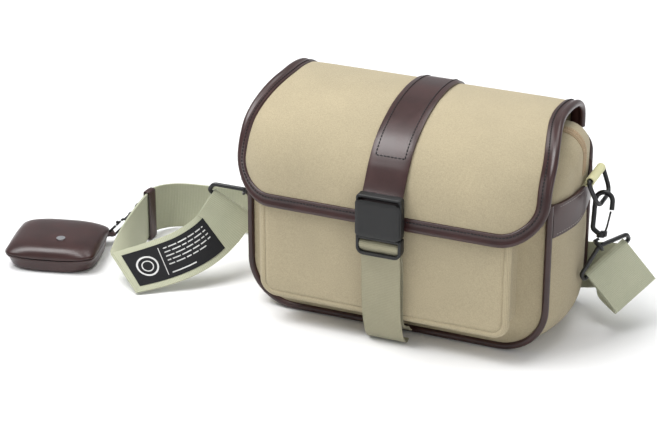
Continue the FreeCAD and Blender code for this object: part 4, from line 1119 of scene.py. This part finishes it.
def zip_parts():
    for name, way, tape_y, body_name, node in (
            ("front", -1, (TAPE_ENDS[0], 2.4), "lid_front", "zip_coil_front"),
            ("rear", 1, (4.6, TAPE_ENDS[1]), "lid_rear", "zip_coil_rear")):
        line = [(*p, way) for p in zip_line(COIL_Y[way], LID_HALF - 1, 0)]
        add(teeth("zip_teeth_" + name, line, MAT["zip_teeth"]), body_name, "zip_coil", node)
        tape = [[(x, v, section_at(v)[2]) for x in np.linspace(-LID_HALF + 1, LID_HALF - 1, 40)]
                for v in np.linspace(*tape_y, 4)]
        add(shell("zip_tape_" + name, tape, 0.3, 0.75, MAT["zip_coil"], flip=True), body_name, "zip_coil")
    lines, tapes = [], []
    for side in (-1, 1):
        lines += [[(*p, way) for p in zip_line(y, 0, side)] for way, y in COIL_Y.items()]
        rows = [[p[:3] for p in zip_line(y, 0, side)] for y in np.linspace(*TAPE_ENDS, 6)]
        tapes.append(shell("zip_tape_end", rows, 0.3, 0.75, MAT["zip_coil"], flip=side > 0))
    ends = join([teeth("zip_teeth_end", line, MAT["zip_teeth"]) for line in lines], "zip_teeth_ends")
    add(ends, "bag", "zip_coil", "zip_ends")
    add(join(tapes, "zip_tape_ends"), "bag", "zip_coil")


# ---- keeper --------------------------------------------------------------------------------
def keeper():
    """Leather sleeve round the folded strap."""
    turn = -math.atan2(2, 26)
    centre = Vector(KEEPER_AT)
    outline = []
    for cx, cz, start in ((1.2, 22.8, 0), (-1.2, 22.8, 90), (-1.2, -22.8, 180), (1.2, -22.8, 270)):
        turns = [math.radians(start + a) for a in (0, 30, 60, 90)]
        outline += [(cx + 2.0 * math.cos(a), cz + 2.4 * math.sin(a)) for a in turns]
    half = KEEPER_HALF
    rows = []
    for y, grow in ((-half, -0.5), (-half, -0.1), (-half + 0.5, 0.25), (-2, 0.35),
                    (2, 0.35), (half - 0.5, 0.25), (half, -0.1), (half, -0.5)):
        ring = []
        for x, z in outline:
            scale = 1 + grow / max(2.0, abs(x))
            ring.append((x * scale, y, z * (1 + grow / 24)))
        rows.append(ring + [ring[0]])
    spin = Matrix.Rotation(turn, 3, "Z")
    grid = [[tuple(spin @ Vector(p) + centre) for p in row] for row in rows]
    obj = shell("keeper_leather", grid, -1.0, 0.0, MAT["leather_tab"])
    fix_normals(obj)
    add(obj, "bag", "leather", "strap_keeper")
    lug = [(-289.6, 29.6, 37.9), (-291.2, 29.7, 37.9)]
    add(tube("keeper_lug", lug, 2.2, MAT["leather_tab"], start=(0, 0, 1)), "bag", "leather")


# ---- pouch ---------------------------------------------------------------------------------
def pouch_ring(scale, height, pinch, split_dip=0.0, count=96):
    """Outline of the pouch at a height: square with soft sides and pinched corners."""
    turn = POUCH_TURN
    out = []
    for k in range(count):
        a = 2 * math.pi * k / count
        c, s = math.cos(a), math.sin(a)
        power = 2 / 3.4
        x = POUCH_HALF[0] * scale * math.copysign(abs(c) ** power, c)
        y = POUCH_HALF[1] * scale * math.copysign(abs(s) ** power, s)
        corner = (abs(c * s) * 2) ** 3
        x, y = x * (1 + 1.3 * pinch * corner), y * (1 + 1.3 * pinch * corner)
        front = max(0.0, -s) ** 2
        z = height - split_dip * front * (1 - corner) + 1.0 * pinch * corner * 8
        out.append((POUCH_X + x * math.cos(turn) - y * math.sin(turn),
                    POUCH_Y + x * math.sin(turn) + y * math.cos(turn), z))
    return out


def pouch_shell(name, levels, mat, cap):
    """Stacked outlines joined into a skin, closed at one end by a fan."""
    points, faces = [], []
    count = len(levels[0])
    for ring in levels:
        points += ring
    for i in range(len(levels) - 1):
        m, n = i * count, (i + 1) * count
        faces += [(m + k, m + (k + 1) % count, n + (k + 1) % count, n + k) for k in range(count)]
    for which in cap:
        ring = levels[which]
        start = (len(levels) - 1) * count if which else 0
        centre = np.mean(np.array(ring), axis=0)
        points.append(tuple(centre))
        faces += [(start + k, start + (k + 1) % count, len(points) - 1) for k in range(count)]
    uvs = [((p[0]) * MM, (p[1] + p[2]) * MM) for p in points]
    obj = new_mesh(name, points, faces, mat, uvs)
    fix_normals(obj)
    return obj


def pouch():
    base = [pouch_ring(*level) for level in (
        (0.5, 0.3, 0), (0.86, 0.35, 0.0), (0.93, 1.2, 0.0), (0.965, 3.5, 0.01), (0.985, 7.5, 0.02),
        (0.99, 11, 0.05, 0.5), (1.0, 13.2, 0.08, 1.6), (1.0, 14.4, 0.09, 2.0),
        (0.985, 14.9, 0.09, 2.0), (0.96, 14.4, 0.08, 2.0), (0.93, 10, 0.02, 0.5), (0.9, 3, 0.0),
        (0.5, 2.4, 0))]
    add(pouch_shell("pouch_base_leather", base, MAT["leather"], (0, -1)), "pouch", "leather", "pouch_base")
    lid = [pouch_ring(*level) for level in (
        (0.4, 22.6, 0), (0.86, 20, 0.02), (0.95, 16.9, 0.08, 1.0), (0.98, 15.6, 0.09, 1.6),
        (1.0, 15.3, 0.09, 1.4), (1.005, 16.3, 0.09, 1.0), (0.985, 18.2, 0.07, 0.4),
        (0.95, 20.3, 0.045), (0.90, 22.3, 0.02), (0.82, 24.1, 0.0), (0.68, 25.2, 0.0), (0.5, 25.9, 0),
        (0.25, 26.3, 0))]
    add(pouch_shell("pouch_lid_leather", lid, MAT["leather"], (0, -1)), "pouch_cover", "leather", "pouch_lid")
    grey = [pouch_ring(0.94, 13.0, 0.04, 1.4), pouch_ring(0.945, 16.5, 0.04, 1.0)]
    add(pouch_shell("pouch_zip_tape", grey, MAT["label_cloth"], ()), "pouch", "leather")
    box_low, box_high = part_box("pouch_tab")
    low, high = [c / MM for c in box_low], [c / MM for c in box_high]
    path = [(low[0] + 1, low[1] + 1, 10.1), ((low[0] + high[0]) / 2, (low[1] + high[1]) / 2, 10.3),
            (high[0] - 2, high[1] - 2, 10.1)]
    tab = sweep("pouch_tab_leather", smooth_line(path, 2), transport(smooth_line(path, 2), (0, 0, 1)),
                [(-1.1, -5), (1.1, -5), (1.1, 5), (-1.1, 5)], MAT["leather_tab"])
    add(tab, "pouch", "leather", "pouch_tab")


# ---- inside --------------------------------------------------------------------------------
def pad(name, node, body_name, slot, crown, thin):
    """Foam slab: crowned faces, sides drawn in between the corners, soft edges."""
    low, high = (np.array(corner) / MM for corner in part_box(node))
    centre, half = (low + high) / 2, (high - low) / 2 - 0.4
    others = [k for k in range(3) if k != thin]
    count = 22
    points, faces = [], []
    for sign in (-1, 1):
        for v in eased(count, 1.6):
            for u in eased(count, 1.6):
                edge = 1 - max(abs(u), abs(v)) ** 8
                p = np.zeros(3)
                p[others[0]] = half[others[0]] * u * (1 - 0.012 * (1 - v * v))
                p[others[1]] = half[others[1]] * v * (1 - 0.012 * (1 - u * u))
                p[thin] = sign * half[thin] * (0.55 * edge ** 0.5 + 0.3 + crown * (1 - u * u) * (1 - v * v))
                points.append(centre + p)
    per = count * count
    for sheet_start, turned in ((0, True), (per, False)):
        for i in range(count - 1):
            for j in range(count - 1):
                a = sheet_start + i * count + j
                quad = (a, a + 1, a + count + 1, a + count)
                faces.append(quad[::-1] if turned else quad)
    rim = [j for j in range(count)] + [i * count + count - 1 for i in range(1, count)]
    rim += [(count - 1) * count + j for j in range(count - 2, -1, -1)]
    rim += [i * count for i in range(count - 2, 0, -1)]
    faces += [(a, b, b + per, a + per) for a, b in zip(rim, rim[1:] + rim[:1])]
    obj = new_mesh(name, points, faces, MAT[slot])
    fix_normals(obj)
    add(obj, body_name, slot, node)


def inside():
    pad("divider_left_pad", "divider_left", "divider_a", "divider_cloth", 0.15, 0)
    pad("divider_right_pad", "divider_right", "divider_b", "divider_cloth", 0.15, 0)
    for name, y, top, facing in (("front", -51.6, 139, -1), ("back", 55.6, 159, 1)):
        spec = (131.5, 8.5, top, 34.0, 12.0)

        def foam_y(distance, x, z, y=y, facing=facing):
            return y + facing * (arc_y(distance, 14, 1.6) - 2.2)
        slab = panel("foam_" + name + "_pad", spec, foam_y, MAT["foam"], 5.0, facing, 24, 30)
        add(slab, "bag", "foam", "foam_" + name)
    pad("foam_base_pad", "foam_base", "bag", "foam", 0.1, 2)
    low, high = (np.array(corner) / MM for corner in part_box("foam_sides"))
    for side, stands in ((-1, ("foam_sides",)), (1, ())):
        x = side * (high[0] - 3.2)
        grid = [[(x + side * 0.5 * math.sin(math.pi * j / 9), y, z)
                 for j, y in enumerate(np.linspace(low[1], high[1], 10))]
                for z in np.linspace(low[2], high[2], 12)]
        slab = shell("foam_side_pad_" + ("left" if side < 0 else "right"), grid, -2.4, 2.4, MAT["foam"])
        add(slab, "bag", "foam", *stands)
    half, low, top, radius, _ = LINING
    outline = [(-half, z) for z in np.linspace(top, low + radius, 12)]
    outline += [(-half + radius - radius * math.cos(a), low + radius - radius * math.sin(a))
                for a in np.linspace(0, math.pi / 2, 8)[1:]]
    outline += [(x, low) for x in np.linspace(-103, 103, 24)[1:]]
    outline += [(-x, z) for x, z in reversed(outline[:20])][1:]
    rows = [[(x, y, z) for x, z in outline] for y in np.linspace(LINING_FRONT, LINING_REAR, 14)]
    bottom = shell("lining_floor", rows, -0.3, 0.3, MAT["lining"])
    add(bottom, "bag", "lining", "lining")
    for name, y in (("front", LINING_FRONT), ("rear", LINING_REAR)):
        def lining_y(distance, x, z, y=y):
            return y + 0.3 * wrinkle((x, 0, z), 0.03, 8)
        wall = panel("lining_" + name, LINING, lining_y, MAT["lining"], 0.6, 1, 20, 40)
        add(wall, "bag", "lining")


# ---- stage ---------------------------------------------------------------------------------
def stage_and_camera():
    paint = Paint("floor", 0.75, Specular_IOR_Level=0.25)
    paint.colour(paint.ramp(paint.noise(3, 2.0), [(0.0, (0.86, 0.86, 0.865)), (1.0, (0.89, 0.89, 0.89))]))
    floor_mesh = bpy.data.meshes.new("floor")
    reach = 6.0
    floor_mesh.from_pydata([(-reach, -reach, -0.0005), (reach, -reach, -0.0005), (reach, reach, -0.0005),
                            (-reach, reach, -0.0005)], [], [(0, 1, 2, 3)])
    floor_mesh.materials.append(paint.mat)
    floor = bpy.data.objects.new("floor", floor_mesh)
    bpy.context.scene.collection.objects.link(floor)
    for name, place, aim, size, watts in (
            ("key", (-0.7, -0.5, 1.7), (0, 0, 0.1), 1.0, 24),
            ("top", (0.25, 0.55, 1.6), (0, 0, 0.15), 0.9, 9),
            ("right", (1.6, -1.0, 0.9), (0.1, 0, 0.1), 0.9, 5)):
        data = bpy.data.lights.new(name, "AREA")
        data.shape, data.size, data.energy = "SQUARE", size, watts
        lamp = bpy.data.objects.new(name, data)
        lamp.location = place
        lamp.rotation_euler = (Vector(aim) - Vector(place)).to_track_quat("-Z", "Y").to_euler()
        bpy.context.scene.collection.objects.link(lamp)
    data = bpy.data.lights.new("soft_sun", "SUN")
    data.energy, data.angle = 0.95, math.radians(50)
    sun = bpy.data.objects.new("soft_sun", data)
    sun.rotation_euler = Vector((0.35, 0.25, -1.0)).to_track_quat("-Z", "Y").to_euler()
    bpy.context.scene.collection.objects.link(sun)
    world = bpy.data.worlds.new("studio")
    world.use_nodes = True
    world.node_tree.nodes["Background"].inputs[0].default_value = (0.97, 0.985, 1.0, 1)
    world.node_tree.nodes["Background"].inputs[1].default_value = 0.52
    bpy.context.scene.world = world
    bpy.context.scene.view_settings.view_transform = "Standard"

    target = Vector((-0.0875, 0.0, 0.07213))
    azimuth, elevation, distance = math.radians(23), math.radians(25), 2.02225
    back = Vector((math.sin(azimuth) * math.cos(elevation), -math.cos(azimuth) * math.cos(elevation),
                   math.sin(elevation)))
    lens = bpy.data.cameras.new("camera")
    lens.lens, lens.sensor_width = 120.5, 36.0
    camera = bpy.data.objects.new("camera", lens)
    camera.location = target + back * distance
    camera.rotation_euler = (-back).to_track_quat("-Z", "Y").to_euler()
    bpy.context.scene.collection.objects.link(camera)
    bpy.context.scene.camera = camera


stage_and_camera()
body()
piping()
pocket()
flap()
closure()
shoulder_strap()
side_pieces()
zip_parts()
keeper()
pouch()
inside()
